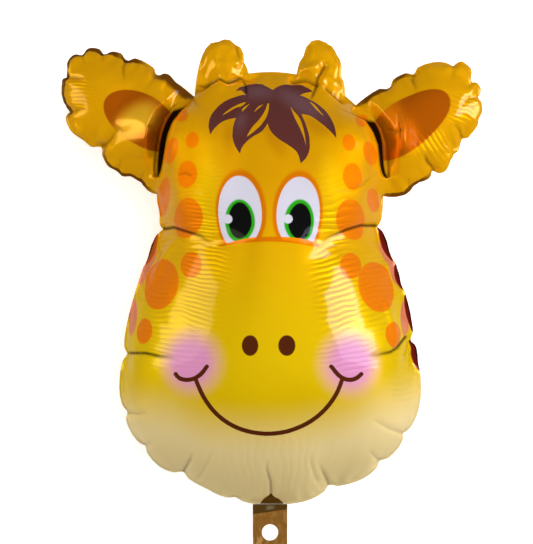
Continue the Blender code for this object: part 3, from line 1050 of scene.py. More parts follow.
LEFT_SPOTS = spots((187, 174.5, 9.5, 13.5, 8), (187.3, 218.8, 14.2, 20, 10), (191, 264.7, 10.5, 13, 6),
    (160, 284, 16.3, 25.5, 14), (144.5, 331, 7.3, 12.7, 6), (171, 151, 6.4, 13.5, 16), (192.5, 140.5, 6.4, 8, 14),
    (181, 114.5, 7, 7), (164, 197, 6, 20, 6))
RIGHT_SPOTS = spots((352.7, 176.6, 9.5, 13.5, -8), (351.3, 220.6, 14.2, 20.5, -10), (350.8, 265.8, 10.5, 13, -6),
    (377.6, 286.5, 16.7, 25.4, -14), (393.4, 334.7, 7.3, 12.7, -6), (370, 153.5, 6.4, 12.5, -16),
    (348.7, 142.8, 6.4, 8.3, -14), (362, 120, 7, 7), (373, 200, 6, 12, -6))
# Spots by the seam; on the front their orange is paled to salmon as a painted reflection
EDGE_BANDS = spots((147, 262, 6, 24, 24), (133, 317, 4, 18, 4), (392, 262, 6, 24, -24), (404, 318, 4, 18, -4))
EAR_PATCHES = spots((146, 122, 42, 25, 33), (404, 126, 52, 25, -36))
# The head's contour over each ear, and the ear's side of the gap beside it, painted dark as shade
EAR_GAPS = (
    (((190, 103), (183, 108), (176.5, 114), (172.5, 121), (167.5, 133), (164, 148), (161.5, 163), (158, 176)),
     ((188, 99), (176, 105), (168.5, 113.5), (164, 121), (159.5, 133), (156.5, 148), (155.5, 163), (156, 178))),
    (((346, 112), (358, 117), (366, 121), (373, 131), (378.5, 143), (380.6, 155), (380.8, 165), (385.5, 178)),
     ((352, 103), (366, 110), (373, 117), (380.5, 128), (384, 140), (385.2, 155), (386, 168), (389, 179))))
# Painted highlights on the ears' patches: yellow on the left, light orange on the right ear's rolls
EAR_PAINTED_HIGHLIGHTS = spots((137, 121, 24, 14, -37), (391, 122, 11, 24, -12))
# Painted sheen in pale mauve on the tuft
HAIR_PAINTED_SHEEN = spots((300, 103, 24, 8, 30), (258, 92, 14, 6), (241, 121, 3.5, 6, 20))
CHEEKS = spots((191.5, 362, 25.5, 28), (349.5, 363.5, 25.5, 28))
NOSTRILS = spots((250.1, 345.5, 8.3, 10.4), (286.8, 345.5, 8.6, 10.4))
# The notch of the film at the chin, in which the tail's foil shows
CHIN_NOTCH = (
    ((259.5, 503.5), (265, 498), (270.3, 494.5), (276, 497.5), (283, 502.5)),
    ((259.5, 509), (270.3, 510), (283, 509)))


@dataclass(frozen=True)
class Eye:
    """One printed eye, in the photograph's pixels."""

    white: Spot
    ring: Spot
    green: Spot
    pupil: Spot
    glint: Spot


EYES = tuple(Eye(*spots(*rows)) for rows in (
    ((239.4, 214, 21.9, 37), (240.2, 213.5, 25.4, 42.2), (239.6, 221.3, 15, 21.5), (239.8, 220.8, 11.6, 18.3),
     (227.8, 218.8, 4.6, 4.6)),
    ((298.9, 215, 21.8, 37), (298.5, 214.5, 25.3, 42.2), (299.6, 221.3, 15, 21.5), (300, 221.8, 11.6, 18.3),
     (288, 218.8, 4.6, 4.6))))
EYE_CUT = ((218.5, 247.2), (240, 242), (255, 239.6), (267.5, 239), (284, 240), (300, 242.6), (317.5, 246.6))
EYE_LINE = (
    ((218.9, 245.4), (229.5, 242.6), (240, 240.1), (252.6, 237.8), (267.4, 236.9), (282.1, 237.1), (296.8, 238.2),
     (309.5, 240.9), (318.9, 244.7)),
    ((218.9, 247.3), (229.5, 245.1), (240, 243.7), (252.6, 242.6), (267.4, 242), (282.1, 242.4), (296.8, 244.1),
     (309.5, 246.2), (318.9, 247.3)))
SMILE = ((195.5, 378.5), (199, 387), (208, 403.5), (216, 413), (225, 420.5), (236, 427), (248, 431), (260, 433),
    (275, 433), (287, 431), (301, 426.5), (312, 420), (323, 411), (335, 395.5), (339, 388), (342, 379))
DIMPLES = (
    ((176, 374), (179, 377.5), (184, 379.5), (191, 379.3), (197, 377), (202, 373), (207, 366.5)),
    ((331, 366.5), (336, 372.5), (341, 377), (346, 379.3), (352, 379.5), (357, 377.5), (361, 374)))
LINE_WIDTH = 4.3
# Locks of the tuft: the upper and the lower edge of each, from left to right
TUFT = (
    (((209, 126), (211, 117), (217, 108.5), (226, 101), (235, 97), (246, 94.2), (256, 95), (268, 100)),
     ((209, 127), (210.6, 135), (216, 127.6), (225, 121), (236, 118.2), (250, 117), (268, 112))),
    (((236.3, 90.6), (244, 85.5), (251.6, 83.9), (259.3, 84.2), (266, 86.6), (272.7, 90.4), (278, 87), (284.8, 84.9),
      (295, 84), (305.2, 86.8), (312.6, 91.3)),
     ((236.3, 90.8), (241.4, 90), (246.5, 94.4), (256, 104), (272, 110), (290, 104), (299.5, 95.7), (304, 93.4),
      (312.6, 91.5))),
    (((232.5, 136.5), (233.8, 125), (236, 118.7), (243, 104), (250, 96), (272, 92), (292, 92), (299.5, 95.7),
      (301.4, 114.2), (305.2, 123.8), (309, 136.5), (309.7, 146.7)),
     ((232.5, 137), (235, 145.5), (240, 154), (242.7, 146.7), (251.6, 137.8), (262, 131.4), (267.6, 123.8),
      (270.8, 131.4), (278.4, 139), (288.6, 145.5), (296.3, 151.8), (300.7, 163.6), (306.5, 157), (309.7, 147.5))),
    (((290, 96), (299.5, 95.7), (309, 99.5), (320.5, 107.2), (329.4, 117.4), (334.5, 130), (335.6, 137)),
     ((290, 112), (301.4, 114.2), (309, 116), (319, 122.5), (328, 130), (335.6, 138.8))))
SLITS = (
    (((223, 115.5), (229, 110), (236, 105.6), (243, 102.6), (246, 102)),
     ((223, 115.8), (230, 111.5), (237, 107.5), (241, 106.5), (246, 102.4))),
    (((242, 109.5), (246, 106), (249.5, 104)), ((242, 112), (245, 109), (249.5, 104.3))),
    (((254.5, 112), (258, 107.5), (263, 105)), ((254.5, 112.4), (259, 108.6), (263, 105.4))),
    (((247, 136.5), (252, 128), (260, 119), (265, 111), (267.5, 104), (269, 104)),
     ((247, 136.8), (255, 131), (264, 121.5), (268, 113), (269, 105))),
    (((290.5, 107), (294, 112), (299, 118), (303, 128), (306, 146)),
     ((290.5, 107.4), (294, 117), (296.5, 122), (300, 129), (304, 139), (306, 146.5))),
    (((309, 101.5), (315, 106), (319, 111), (323, 116)), ((309, 101.8), (314, 108), (319, 113), (323, 116.3))))


@dataclass(frozen=True)
class Pleats:
    """Fine pleats of the film in a zone of the photograph.

    The zone and the pitch are in pixels, the lean is the degrees by which the pleats run down to
    the right, and the depth is in millimetres.
    """

    zone: Spot
    pitch: float
    lean: float
    depth: float
    soft: float = 10


PLEAT_DEPTH = 1.35
PLEATS = tuple(Pleats(Spot(*zone), *rest) for zone, *rest in (((203, 208, 22, 42), 4.2, 2, 0.22),
    ((202, 286, 24, 52), 4.6, 13, 0.3), ((172, 228, 13, 46), 5.4, -8, 0.34, 7), ((152, 310, 20, 46), 5, 8, 0.34, 9),
    ((192, 348, 30, 18), 5.2, 4, 0.34), ((338, 286, 24, 50), 5.6, -16, 0.48, 8), ((340, 205, 22, 40), 7, -8, 0.3),
    ((379, 290, 18, 44), 5.2, -12, 0.4, 9), ((350, 352, 30, 18), 5.4, -9, 0.46),
    ((404, 380, 12, 32), 6.5, -12, 0.4, 8), ((268, 466, 56, 34), 8, 88, 0.3, 14), ((80, 94, 14, 16), 4, 4, 0.3, 8),
    ((462, 108, 14, 14), 4.5, 25, 0.36, 8), ((433, 146, 16, 14), 5, 55, 0.36, 8)))
# The back has those of the left half of the head
BACK_PLEATS = PLEATS[:6]
MATT_PLACES = spots((189, 160, 17, 46), (346, 162, 19, 40), (412, 138, 7, 15))
# Painted highlights in pale yellow on the temples
TEMPLE_PAINTED_HIGHLIGHTS = spots((207, 203, 13, 40), (331, 196, 11, 34))
HAIR_SHADES = spots((229, 137, 5, 13), (275, 138, 18, 8, 62), (313, 125, 13, 6, 32))


@dataclass(frozen=True)
class RimShade:
    """A part of the ears' rim painted dark brown as shade, where the film curls over the seam."""

    zone: Spot
    reach: float


RIM_SHADES = tuple(RimShade(Spot(*zone), *rest) for zone, *rest in (((97, 60, 36, 22, -60), 0.008),
    ((66, 92, 14, 28), 0.0058), ((71, 60, 12, 16), 0.004), ((175, 86, 26, 13, 45), 0.015),
    ((132, 66, 24, 12, 60), 0.007), ((128, 166, 36, 20, 45), 0.004), ((370, 92, 20, 16), 0.0075),
    ((398, 76, 12, 8), 0.005), ((412, 190, 40, 16), 0.005)))
CREAM_EDGE = ((126, 403), (150, 408), (165, 410), (185, 418), (215, 427), (270, 430), (320, 424), (350, 417),
    (370, 406), (390, 399), (414, 390))
# The column and the rows between which gold becomes yellow, and how soft the cream begins, in pixels
MIDDLE = 270
GOLD_ABOVE = 170
YELLOW_BELOW = 380
CREAM_SOFT = 34


class PrintShader(Shader):
    """A shader whose masks are shapes of the photograph, laid on the flat film.

    A curve turns sharply at more than SHARP_TURN, in radians. The other two are how much room a
    curve and an ellipse have past their edges.
    """

    SHARP_TURN = 1.0
    CURVE_ROOM = 0.001
    ELLIPSE_ROOM = 1.02

    def __init__(self, name: str, print_map: PrintMap) -> None:
        """Start the material and its flat coordinates."""
        super().__init__(bpy.data.materials.new(name))
        self.map = print_map
        self.place = self.node("ShaderNodeUVMap", {"uv_map": "flat_film"}).outputs[0]
        self.x, self.y, _ = self.parts(self.place)

    def ellipse(self, spot: Spot, soft: float = 0.5, exact: bool = False) -> Value:
        """1 inside an ellipse, 0 outside.

        Args:
            spot: The ellipse.
            soft: How wide its edge is, in pixels.
            exact: Whether it is laid out from points all round it.

        Returns:
            The mask.
        """
        centre, sizes, turn = self.map.ellipse(spot, exact)
        share = soft / min(spot.half_width, spot.half_height)
        reach = (1 + share) * self.ELLIPSE_ROOM
        own = self.node("ShaderNodeMapping", {"vector_type": "TEXTURE"}, {
            "Vector": self.place, "Location": (centre[0], centre[1], 0), "Rotation": (0, 0, turn),
            "Scale": (sizes[0] * reach, sizes[1] * reach, 1)})
        ball = self.value("ShaderNodeTexGradient", {"gradient_type": "SPHERICAL"}, {"Vector": own.outputs[0]}, "Fac")
        return ball.step(1 - (1 + share) / reach, 1 - (1 - share) / reach)

    def ellipses(self, some: Iterable[Spot], soft: float = 0.5, exact: bool = False) -> Value:
        """1 inside any of some ellipses, 0 outside."""
        return self.union(self.ellipse(spot, soft, exact) for spot in some)

    def curve(self, points: Sequence[Point], upright: bool = False) -> tuple[Value, float, float]:
        """A height on the flat film for each place across it, from points of the photograph.

        Args:
            points: Pixels along the curve.
            upright: Whether it gives a place across the film for each height instead.

        Returns:
            The height, and the lowest and highest place across the film that it covers.
        """
        laid = [tuple(self.map.point(*p)) for p in points]
        laid = sorted(p[::-1] for p in laid) if upright else sorted(laid)
        across, up = zip(*laid)
        x0, x1 = min(across), max(across)
        y0, y1 = min(up) - self.CURVE_ROOM, max(up) + self.CURVE_ROOM
        turns = np.unwrap(np.arctan2(np.diff(up), np.diff(across)))
        sharp = [False, *(np.abs(np.diff(turns)) > self.SHARP_TURN), False]
        knots = [((p[0] - x0) / (x1 - x0), (p[1] - y0) / (y1 - y0), bool(corner)) for p, corner in zip(laid, sharp)]
        place = ((self.y if upright else self.x) - x0) * (1 / (x1 - x0))
        found = self.value("ShaderNodeFloatCurve", {"curve": knots}, {"Factor": 1.0, "Value": place})
        return found * (y1 - y0) + y0, x0, x1

    def gap(self, contour: Sequence[Point], other: Sequence[Point], side: Hand, soft: float = 0.003,
            sharp: float = 0.0008, end: float = 0.002) -> tuple[Value, Value]:
        """The painted shade in the gap between the head's contour and an ear.

        Args:
            contour: The head's contour, in pixels from the top down.
            other: The ear's side of the gap.
            side: Which ear.
            soft: How soft the ear's side is, in metres.
            sharp: How soft the head's side is.
            end: How soft its lower end is, and half as soft as its upper end.

        Returns:
            How much painted shade each place has, and 1 on the head's side of the contour.
        """
        edge, low, high = self.curve(contour, upright=True)
        far, _, _ = self.curve(other, upright=True)
        span = self.y.step(low - end, low + end) * self.y.step(high + 2 * end, high - 2 * end)
        past = (edge - self.x) * side.value
        head = past.step(-sharp, sharp)
        ear = ((far - self.x) * side.value).step(-soft, soft)
        return (1 - head) * ear * span, head

    def union(self, masks: Iterable[Value]) -> Value:
        """The largest of several masks."""
        return reduce(Value.most, masks)

    def between(self, upper: Sequence[Point], lower: Sequence[Point]) -> Value:
        """1 between two edges, 0 elsewhere.

        Args:
            upper: Pixels along the upper edge.
            lower: Pixels along the lower edge.

        Returns:
            The mask.
        """
        top, low, high = self.curve(upper)
        bottom, low_too, high_too = self.curve(lower)
        span = self.x.above(max(low, low_too)) * self.x.below(min(high, high_too))
        return self.y.below(top) * self.y.above(bottom) * span

    def cream(self) -> Value:
        """1 where the chin is cream, 0 above."""
        soft = CREAM_SOFT * PHOTO.metres_per_pixel
        return (self.curve(CREAM_EDGE)[0] - self.y).step(-soft, soft)

    def attribute(self, name: str) -> Value:
        """A value that the mesh carries."""
        return self.value("ShaderNodeAttribute", {"attribute_name": name}, output="Fac")

    def pleats(self, fold: Pleats, wander_scale: float = 24.0, wander: float = 1.4) -> Value:
        """The height of a zone of fine pleats.

        Args:
            fold: The pleats.
            wander_scale: The scale of the noise that makes them uneven.
            wander: How far they wander, in pleats.

        Returns:
            The height in metres.
        """
        rate = self.map.fit(fold.zone.x, fold.zone.y)[1]
        lean = math.radians(fold.lean)
        across = np.array([-math.sin(lean), math.cos(lean)]) @ np.linalg.inv(rate) / fold.pitch
        uneven = self.grain(self.place, wander_scale, noise_dimensions="2D")
        part = (self.x * across[0] + self.y * across[1] + uneven * wander).math("FRACT")
        ridge = part * (1 - part) * 4
        return ridge * self.ellipse(fold.zone, fold.soft) * (fold.depth * PLEAT_DEPTH / 1000)

    def stroke(self, points: Sequence[Point], width: float, spacing: float = 2.2, ends: int = 6) -> Value:
        """1 along a line of the photograph, 0 elsewhere.

        Args:
            points: Pixels along the line.
            width: The line's width in pixels.
            spacing: The pixels between the points of its edges.
            ends: The points at each end that a round dot covers.

        Returns:
            The mask.
        """
        given = Line(np.array(points, float))
        places = np.linspace(0, given.length, max(5, round(given.length / spacing)))
        bends = min(len(points) - 2, 6)
        line = np.column_stack([np.polyval(np.polyfit(given.run, given.points[:, i], bends), places) for i in (0, 1)])
        way = np.gradient(line, axis=0)
        out = np.column_stack([way[:, 1], -way[:, 0]]) / np.linalg.norm(way, axis=1)[:, None] * width / 2
        mask = self.between((line + out).tolist(), (line - out).tolist())
        for x, y in (*line[:ends], *line[-ends:]):
            mask = mask.most(self.ellipse(Spot(x, y, width / 2, width / 2), 0.4))
        return mask


@dataclass(frozen=True)
class FilmFinish:
    """Satin metallised film under clear gloss, with fine pleats."""

    metallic: float = 0.42
    clear_metallic: float = 0.25
    roughness: float = 0.28
    opaque_roughness: float = 0.45
    matt_roughness: float = 0.60
    coat: float = 0.85
    coat_under_ink: float = 0.6
    coat_index: float = 1.60
    coat_roughness: float = 0.06
    ripple_scale: float = 26.0
    ripple_depth: float = 0.0006

    def finish(self, shader: PrintShader, colour: bpy.types.NodeSocket, opaque: Operand,
               pleats: Sequence[Pleats], clear: Operand = 0.0, matt: Operand = 0.0) -> bpy.types.Material:
        """Finish a film's material.

        Args:
            shader: The film's shader.
            colour: Its print.
            opaque: 1 where the ink hides the metal.
            pleats: The zones of pleats.
            clear: 1 where a clear ink shows more of the metal.
            matt: 1 where the film has no gloss.

        Returns:
            The material.
        """
        hidden = opaque.least(1.0) if isinstance(opaque, Value) else opaque
        metallic = (1 - hidden) * self.metallic + clear * self.clear_metallic
        roughness = (hidden * (self.opaque_roughness - self.roughness) + self.roughness
                     + matt * (self.matt_roughness - self.roughness))
        coat = (1 - hidden * self.coat_under_ink) * (1 - matt) * self.coat
        height = shader.grain(shader.place, self.ripple_scale) * self.ripple_depth
        for zone in pleats:
            height = height + shader.pleats(zone)
        return shader.finish(Base_Color=colour, Metallic=metallic, Specular_IOR_Level=0.0, Roughness=roughness,
                             Coat_Weight=coat, Coat_IOR=self.coat_index, Coat_Roughness=self.coat_roughness,
                             Normal=shader.bump(height))


@dataclass(frozen=True)
class FrontPrint:
    """The printed front: yellow that pales to cream, spots, a tuft, eyes, cheeks and a smile.

    The layers and the parts of an eye give an ink, the softness of the edge in pixels and, for a
    layer, its share. The other numbers are how much of an ink covers and how far it hides the metal.
    Besides the print it has painted highlights on the temples, ears and tuft, painted reflection on the
    spots by the seam, and painted shade in the ear gaps and folds and on the ears' rims and fin lobes.
    """

    film: FilmFinish = FilmFinish()
    # Temples: painted highlights. Spots by the seam: orange paled to salmon as a painted reflection
    layers: tuple[tuple[tuple[Spot, ...], Ink, float, float], ...] = (
        (TEMPLE_PAINTED_HIGHLIGHTS, Ink.PAINTED_HIGHLIGHT_YELLOW, 10.0, 0.85), (HAIR_SHADES, Ink.DARK_GOLD, 5.0, 0.6),
        (LEFT_SPOTS + RIGHT_SPOTS, Ink.ORANGE, 0.5, 1.0), (EDGE_BANDS, Ink.PAINTED_REFLECTION_SALMON, 0.5, 1.0))
    # Colours of the painted highlights on the left and the right ear
    ear_highlight_inks: tuple[Ink, Ink] = (Ink.EAR_PAINTED_HIGHLIGHT_YELLOW, Ink.EAR_ROLL_PAINTED_HIGHLIGHT)
    eye_parts: tuple[tuple[str, Ink, float], ...] = (
        ("ring", Ink.LINE_ORANGE, 1.6), ("white", Ink.WHITE, 0.4), ("green", Ink.GREEN, 0.8),
        ("pupil", Ink.BLACK, 0.5), ("glint", Ink.WHITE, 0.4))
    cream_hides: float = 0.35
    cheek_share: float = 0.9
    cheek_hides: float = 0.6
    # How much painted sheen the tuft takes
    hair_sheen_share: float = 0.7
    hair_hides: float = 0.7
    rim_inner: float = 0.45
    rim_hides: float = 0.5

    def material(self, print_map: PrintMap) -> bpy.types.Material:
        """The front film's material.

        Args:
            print_map: Where the print lies on the film.

        Returns:
            The material.
        """
        shader = PrintShader("front_print", print_map)
        cream = shader.cream()
        high, low = (print_map.point(MIDDLE, row)[1] for row in (GOLD_ABOVE, YELLOW_BELOW))
        colour = shader.mix(shader.y.step(high, low), Ink.GOLD.value, Ink.YELLOW.value)
        colour = shader.mix(cream, colour, Ink.CREAM.value)
        for layer, ink, soft, share in self.layers:
            colour = shader.mix(shader.ellipses(layer, soft) * share, colour, ink.value)
        opaque: Operand = cream * self.cream_hides
        dark: Operand = 0.0
        clear: Operand = 0.0
        # Each ear: its orange patch print, a painted highlight on it, and painted shade in the gap by the head
        for spot, (contour, other), hand, highlight_spot, ink in zip(EAR_PATCHES, EAR_GAPS, Hand, EAR_PAINTED_HIGHLIGHTS, self.ear_highlight_inks):
            gap, on_head = shader.gap(contour, other, hand)
            patch = shader.ellipse(spot) * (1 - on_head)
            colour = shader.mix(patch, colour, Ink.EAR_ORANGE.value)
            highlight_and_blush = shader.ellipse(highlight_spot, 8.0)
            colour = shader.mix(highlight_and_blush * patch, colour, ink.value)
            dark = gap + dark
            clear = (1 - highlight_and_blush) * patch + clear
        highlight_and_blush = shader.ellipses(CHEEKS, 13.0, exact=True)
        colour = shader.mix(highlight_and_blush * self.cheek_share, colour, Ink.PINK.value)
        opaque = opaque + highlight_and_blush * self.cheek_hides
        over_cut = shader.y.above(shader.curve(EYE_CUT)[0])
        for part, ink, soft in self.eye_parts:
            mask = shader.ellipses((getattr(eye, part) for eye in EYES), soft, exact=True) * over_cut
            colour = shader.mix(mask, colour, ink.value)
            if part == "white":
                opaque = opaque + mask
        colour = shader.mix(shader.between(*EYE_LINE), colour, Ink.LINE_ORANGE.value)
        mask = shader.union([*(shader.ellipse(spot) for spot in NOSTRILS),
                             *(shader.stroke(line, LINE_WIDTH) for line in (SMILE, *DIMPLES))])
        colour = shader.mix(mask, colour, Ink.DARK_BROWN.value)
        opaque = opaque + mask
        tuft = shader.union(shader.between(*lock) for lock in TUFT)
        tuft = tuft * (1 - shader.union(shader.between(*slit) for slit in SLITS))
        # The tuft's brown print, with painted sheen in pale mauve on parts of it
        hair = shader.mix(shader.ellipses(HAIR_PAINTED_SHEEN, 7.0) * self.hair_sheen_share, Ink.BROWN.value, Ink.PAINTED_SHEEN_MAUVE.value)
        colour = shader.mix(tuft, colour, hair)
        opaque = opaque + tuft * self.hair_hides
        colour = shader.mix(shader.between(*CHIN_NOTCH), colour, Ink.FOIL_BROWN.value)
        # Painted shade in dark brown on parts of the ears' rim
        rim = shader.attribute("from_rim")
        mask = shader.union(shader.ellipse(shade.zone, 6.0) * rim.step(shade.reach, shade.reach * self.rim_inner)
                            for shade in RIM_SHADES)
        colour = shader.mix(mask, colour, Ink.RIM_PAINTED_SHADE.value)
        opaque = opaque + mask * self.rim_hides
        # The fin's lobes: their orange print darkened as painted shade, more on the right, with a near-black outer
        # edge of painted shade
        lobe = shader.attribute("fin_lobe")
        lobe_ink = shader.mix(shader.x.above(0.0), Ink.LOBE_ORANGE.value, Ink.LOBE_RED_PAINTED_SHADE.value)
        colour = shader.mix(lobe.step(0.1, 0.3), colour, lobe_ink)
        colour = shader.mix(lobe.step(0.6, 0.95), colour, Ink.CREASE.value)
        # Painted shade in the gaps by the ears and along the folds
        shade = dark.most(shader.attribute("crease_shade"))
        colour = shader.mix(shade, colour, Ink.CREASE.value)
        matt = shader.ellipses(MATT_PLACES, 7.0)
        return self.film.finish(shader, colour, opaque + shade, PLEATS, clear * (1 - shade.least(1.0)), matt)


@dataclass(frozen=True)
class BackPrint:
    """The back: the same inks, with the spots alone."""

    film: FilmFinish = FilmFinish()

    def material(self, print_map: PrintMap) -> bpy.types.Material:
        """The back film's material.

        Args:
            print_map: Where the print lies on the film.

        Returns:
            The material.
        """
        shader = PrintShader("back_print", print_map)
        colour = shader.mix(shader.cream(), Ink.YELLOW.value, Ink.CREAM.value)
        for spot in LEFT_SPOTS + RIGHT_SPOTS + EDGE_BANDS:
            colour = shader.mix(shader.ellipse(spot), colour, Ink.ORANGE.value)
        return self.film.finish(shader, colour, 0.0, BACK_PLEATS)


@dataclass(frozen=True)
class TailFoil:
    """The unprinted bronze foil of the filling tail.

    The band is the brown strip's lower edge, and the hole its centre, both in pixels.
    """

    bronze: Colour = (0.32, 0.138, 0.020, 1)
    # Paler bronze in cloudy patches, with more of it below and left of the hole as a painted highlight
    light: Colour = (0.62, 0.33, 0.09, 1)
    brown: Colour = (0.115, 0.055, 0.006, 1)
    # A painted highlight in grey on the middle of the brown band
    grey: Colour = (0.24, 0.20, 0.11, 1)
    band: tuple[Point, Point] = ((252.5, 514.2), (286.0, 509.4))
    hole: Point = (270.0, 532.4)
    stretch: Triple = (1.0, 0.35, 1.0)
    cloud_scale: float = 190.0
    fine_scale: float = 420.0
    detail: float = 3.0
    metallic: float = 0.45
    roughness: float = 0.28

    def material(self) -> bpy.types.Material:
        """The tail's material.

        Returns:
            The material.
        """
        shader = Shader(bpy.data.materials.new("tail_foil"))
        place = shader.node("ShaderNodeTexCoord").outputs["Object"]
        x, y, _ = shader.parts(place)
        run = shader.node("ShaderNodeMapping", {}, {"Vector": place, "Scale": self.stretch}).outputs[0]
        cloud = shader.grain(run, self.cloud_scale, self.detail)
        left, right = (PHOTO.place(*point) for point in self.band)
        slope = (right[1] - left[1]) / (right[0] - left[0])
        over = y - (x * slope + (left[1] - left[0] * slope))
        middle = PHOTO.place(*self.hole)
        # Painted highlight: more pale bronze below and left of the hole
        highlight_below_left = (middle[1] - 0.002 - y).step(0.0, 0.008) * (middle[0] + 0.002 - x).step(0.0, 0.008)
        colour = shader.mix(cloud.step(0.42, 0.68) * (highlight_below_left * 0.9 + 0.35), self.bronze, self.light)
        colour = shader.mix(over.step(-0.0004, 0.0008), colour, self.brown)
        # A painted highlight in grey on the brown band, near the middle
        sheen = over.step(0.0015, 0.004) * over.step(0.0085, 0.006)
        sheen = sheen * (x - middle[0]).math("ABSOLUTE").step(0.007, 0.002)
        colour = shader.mix(sheen * 0.8, colour, self.grey)
        fine = shader.grain(place, self.fine_scale, self.detail)
        height = fine * 0.0006 + cloud * 0.002 + over.step(-0.0006, 0.0012) * 0.0012
        return shader.finish(Base_Color=colour, Metallic=self.metallic, Roughness=self.roughness,
                             Normal=shader.bump(height, 0.7))


@dataclass
class Balloon:
    """The two film panels, from the flat cut to the dressed meshes."""

    cut: FlatCut = FlatCut()
    gas: Inflation = Inflation()
    finishing: Finishing = Finishing()
    refinements: int = 2
    seam_gap: float = 0.0003
    ply: float = 0.0003
    fin_wave: float = 0.0012
    waves: float = 90.0
    lobe_droop: float = 0.35
    whole_lobe: float = 0.0012
    floor_clearance: float = 0.0004
    floor_soft: float = 0.001

    def seam_height(self) -> float:
        """The height of the seam plane."""
        return (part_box("front_panel")[0][2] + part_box("back_panel")[1][2]) / 2

    def blown_film(self) -> Film:
        """One film, gathered and blown up.

        Returns:
            The film, drawn smooth.
        """
        flat = self.gas.cut(self.cut, Loop.from_node("front_panel"))
        log.info("flat film: %d points, %d faces", len(flat.flat), len(flat.faces))
        return self.finishing.draw(self.gas.blow_up(flat))

    def panel(self, film: Film, side: Side) -> bpy.types.Object:
        """One panel: the film, its half of the weld fin, and the flat face on the seam plane.

        Args:
            film: The blown-up film, in fine faces.
            side: The panel.

        Returns:
            The piece.
        """
        seam, face, base = self.seam_height(), side.value, self.seam_gap / 2
        rise = film.shape[:, 2] + base + self.ply
        if side is Side.BACK:
            room = seam - self.floor_clearance
            rise = room - np.log1p(np.exp((room - rise) / self.floor_soft)) * self.floor_soft
        rim_xy, rim_flat = film.shape[film.rim, :2], film.flat[film.rim]
        step = float(np.median(np.hypot(*np.diff(rim_xy, axis=0).T)))
        lobe = sum(each.width(rim_xy) for each in FIN_LOBES)
        fin_xy = rim_xy + Loop.outward(rim_xy, 2 * step, step) * (self.cut.weld_inset + lobe)[:, None]
        fin_flat = rim_flat + Loop.outward(rim_flat, 2 * step, step) * self.cut.weld_inset
        count, size = len(film.shape), len(film.rim)
        wave = np.array([self.fin_wave * noise.noise((*(p * self.waves), 0)) for p in fin_xy])
        wave -= lobe * self.lobe_droop
        top = np.column_stack([film.shape[:, :2], seam + face * rise])
        top[film.rim, 2] = seam + face * (base + self.ply)
        points = np.vstack([top, np.column_stack([fin_xy, seam + wave + face * (base + self.ply)]),
                            np.column_stack([fin_xy, seam + wave + face * base]),
                            np.column_stack([rim_xy, np.full(size, seam + face * base)])])
        flat = np.vstack([film.flat, fin_flat, fin_flat, rim_flat])
        rings = [film.rim, *(count + number * size + np.arange(size) for number in range(3))]
        faces = film.faces.tolist()
        for inner, outer in zip(rings, rings[1:]):
            faces += np.column_stack([inner, outer, np.roll(outer, -1), np.roll(inner, -1)]).tolist()
        cap = delaunay_2d_cdt([Vector(p) for p in rim_xy], [(i, (i + 1) % size) for i in range(size)], [], 1, 0.0)
        cap_faces = [[int(rings[3][cap[3][i][0]]) for i in corners][::-1] for corners in cap[2]]
        faces += cap_faces
        if side is Side.BACK:
            faces = [corners[::-1] for corners in faces]
        name = "front_film" if side is Side.FRONT else "back_film"
        mesh = bpy.data.meshes.new(name)
        mesh.from_pydata(points.tolist(), [], faces)
        mesh.update()
        corners = np.empty(len(mesh.loops), int)
        mesh.loops.foreach_get("vertex_index", corners)
        low, high = flat.min(axis=0), flat.max(axis=0)
        sheet = (flat[corners] - low) / (high - low).max() * 0.98 + 0.01
        sheet[len(corners) - sum(map(len, cap_faces)):] *= 0.11
        for layer, place in (("flat_film", flat[corners]), ("OFBake", sheet)):
            mesh.uv_layers.new(name=layer).data.foreach_set("uv", place.ravel())
        none, shown = np.zeros(size), np.clip(lobe / self.whole_lobe, 0, 1)
        # The distance from the rim places the ears' painted rim shade; fin_lobe and crease_shade carry painted shade
        for layer, on_film, on_fin in (("from_rim", film.from_rim(), none), ("fin_lobe", np.zeros(count), shown),
                                       ("crease_shade", film.shade, none)):
            values = np.concatenate([on_film, on_fin, on_fin, none])
            mesh.attributes.new(layer, "FLOAT", "POINT").data.foreach_set("value", values)
        mesh.shade_smooth()
        return placed(name, mesh)

    def build(self) -> list[bpy.types.Object]:
        """Make and dress both panels.

        Returns:
            The two pieces.
        """
        film = self.blown_film()
        print_map = PrintMap(film)
        for _ in range(self.refinements):
            film = film.refined()
        film = self.finishing.fold(film, EAR_ROOTS, straight=True)
        film = self.finishing.fold(film, EAR_FOLDS + HEAD_FOLDS + HORN_FOLDS)
        log.info("film: %d faces, %.1f mm deep", len(film.faces), film.shape[:, 2].max() * 1000)
        front = self.panel(film, Side.FRONT)
        front.data.materials.append(FrontPrint().material(print_map))
        back = self.panel(film, Side.BACK)
        back.data.materials.append(BackPrint().material(print_map))
        for piece, node, slot in ((front, "front_panel", "front_film"), (back, "back_panel", "back_film")):
            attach(piece, "root")
            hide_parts(node)
        return [front, back]


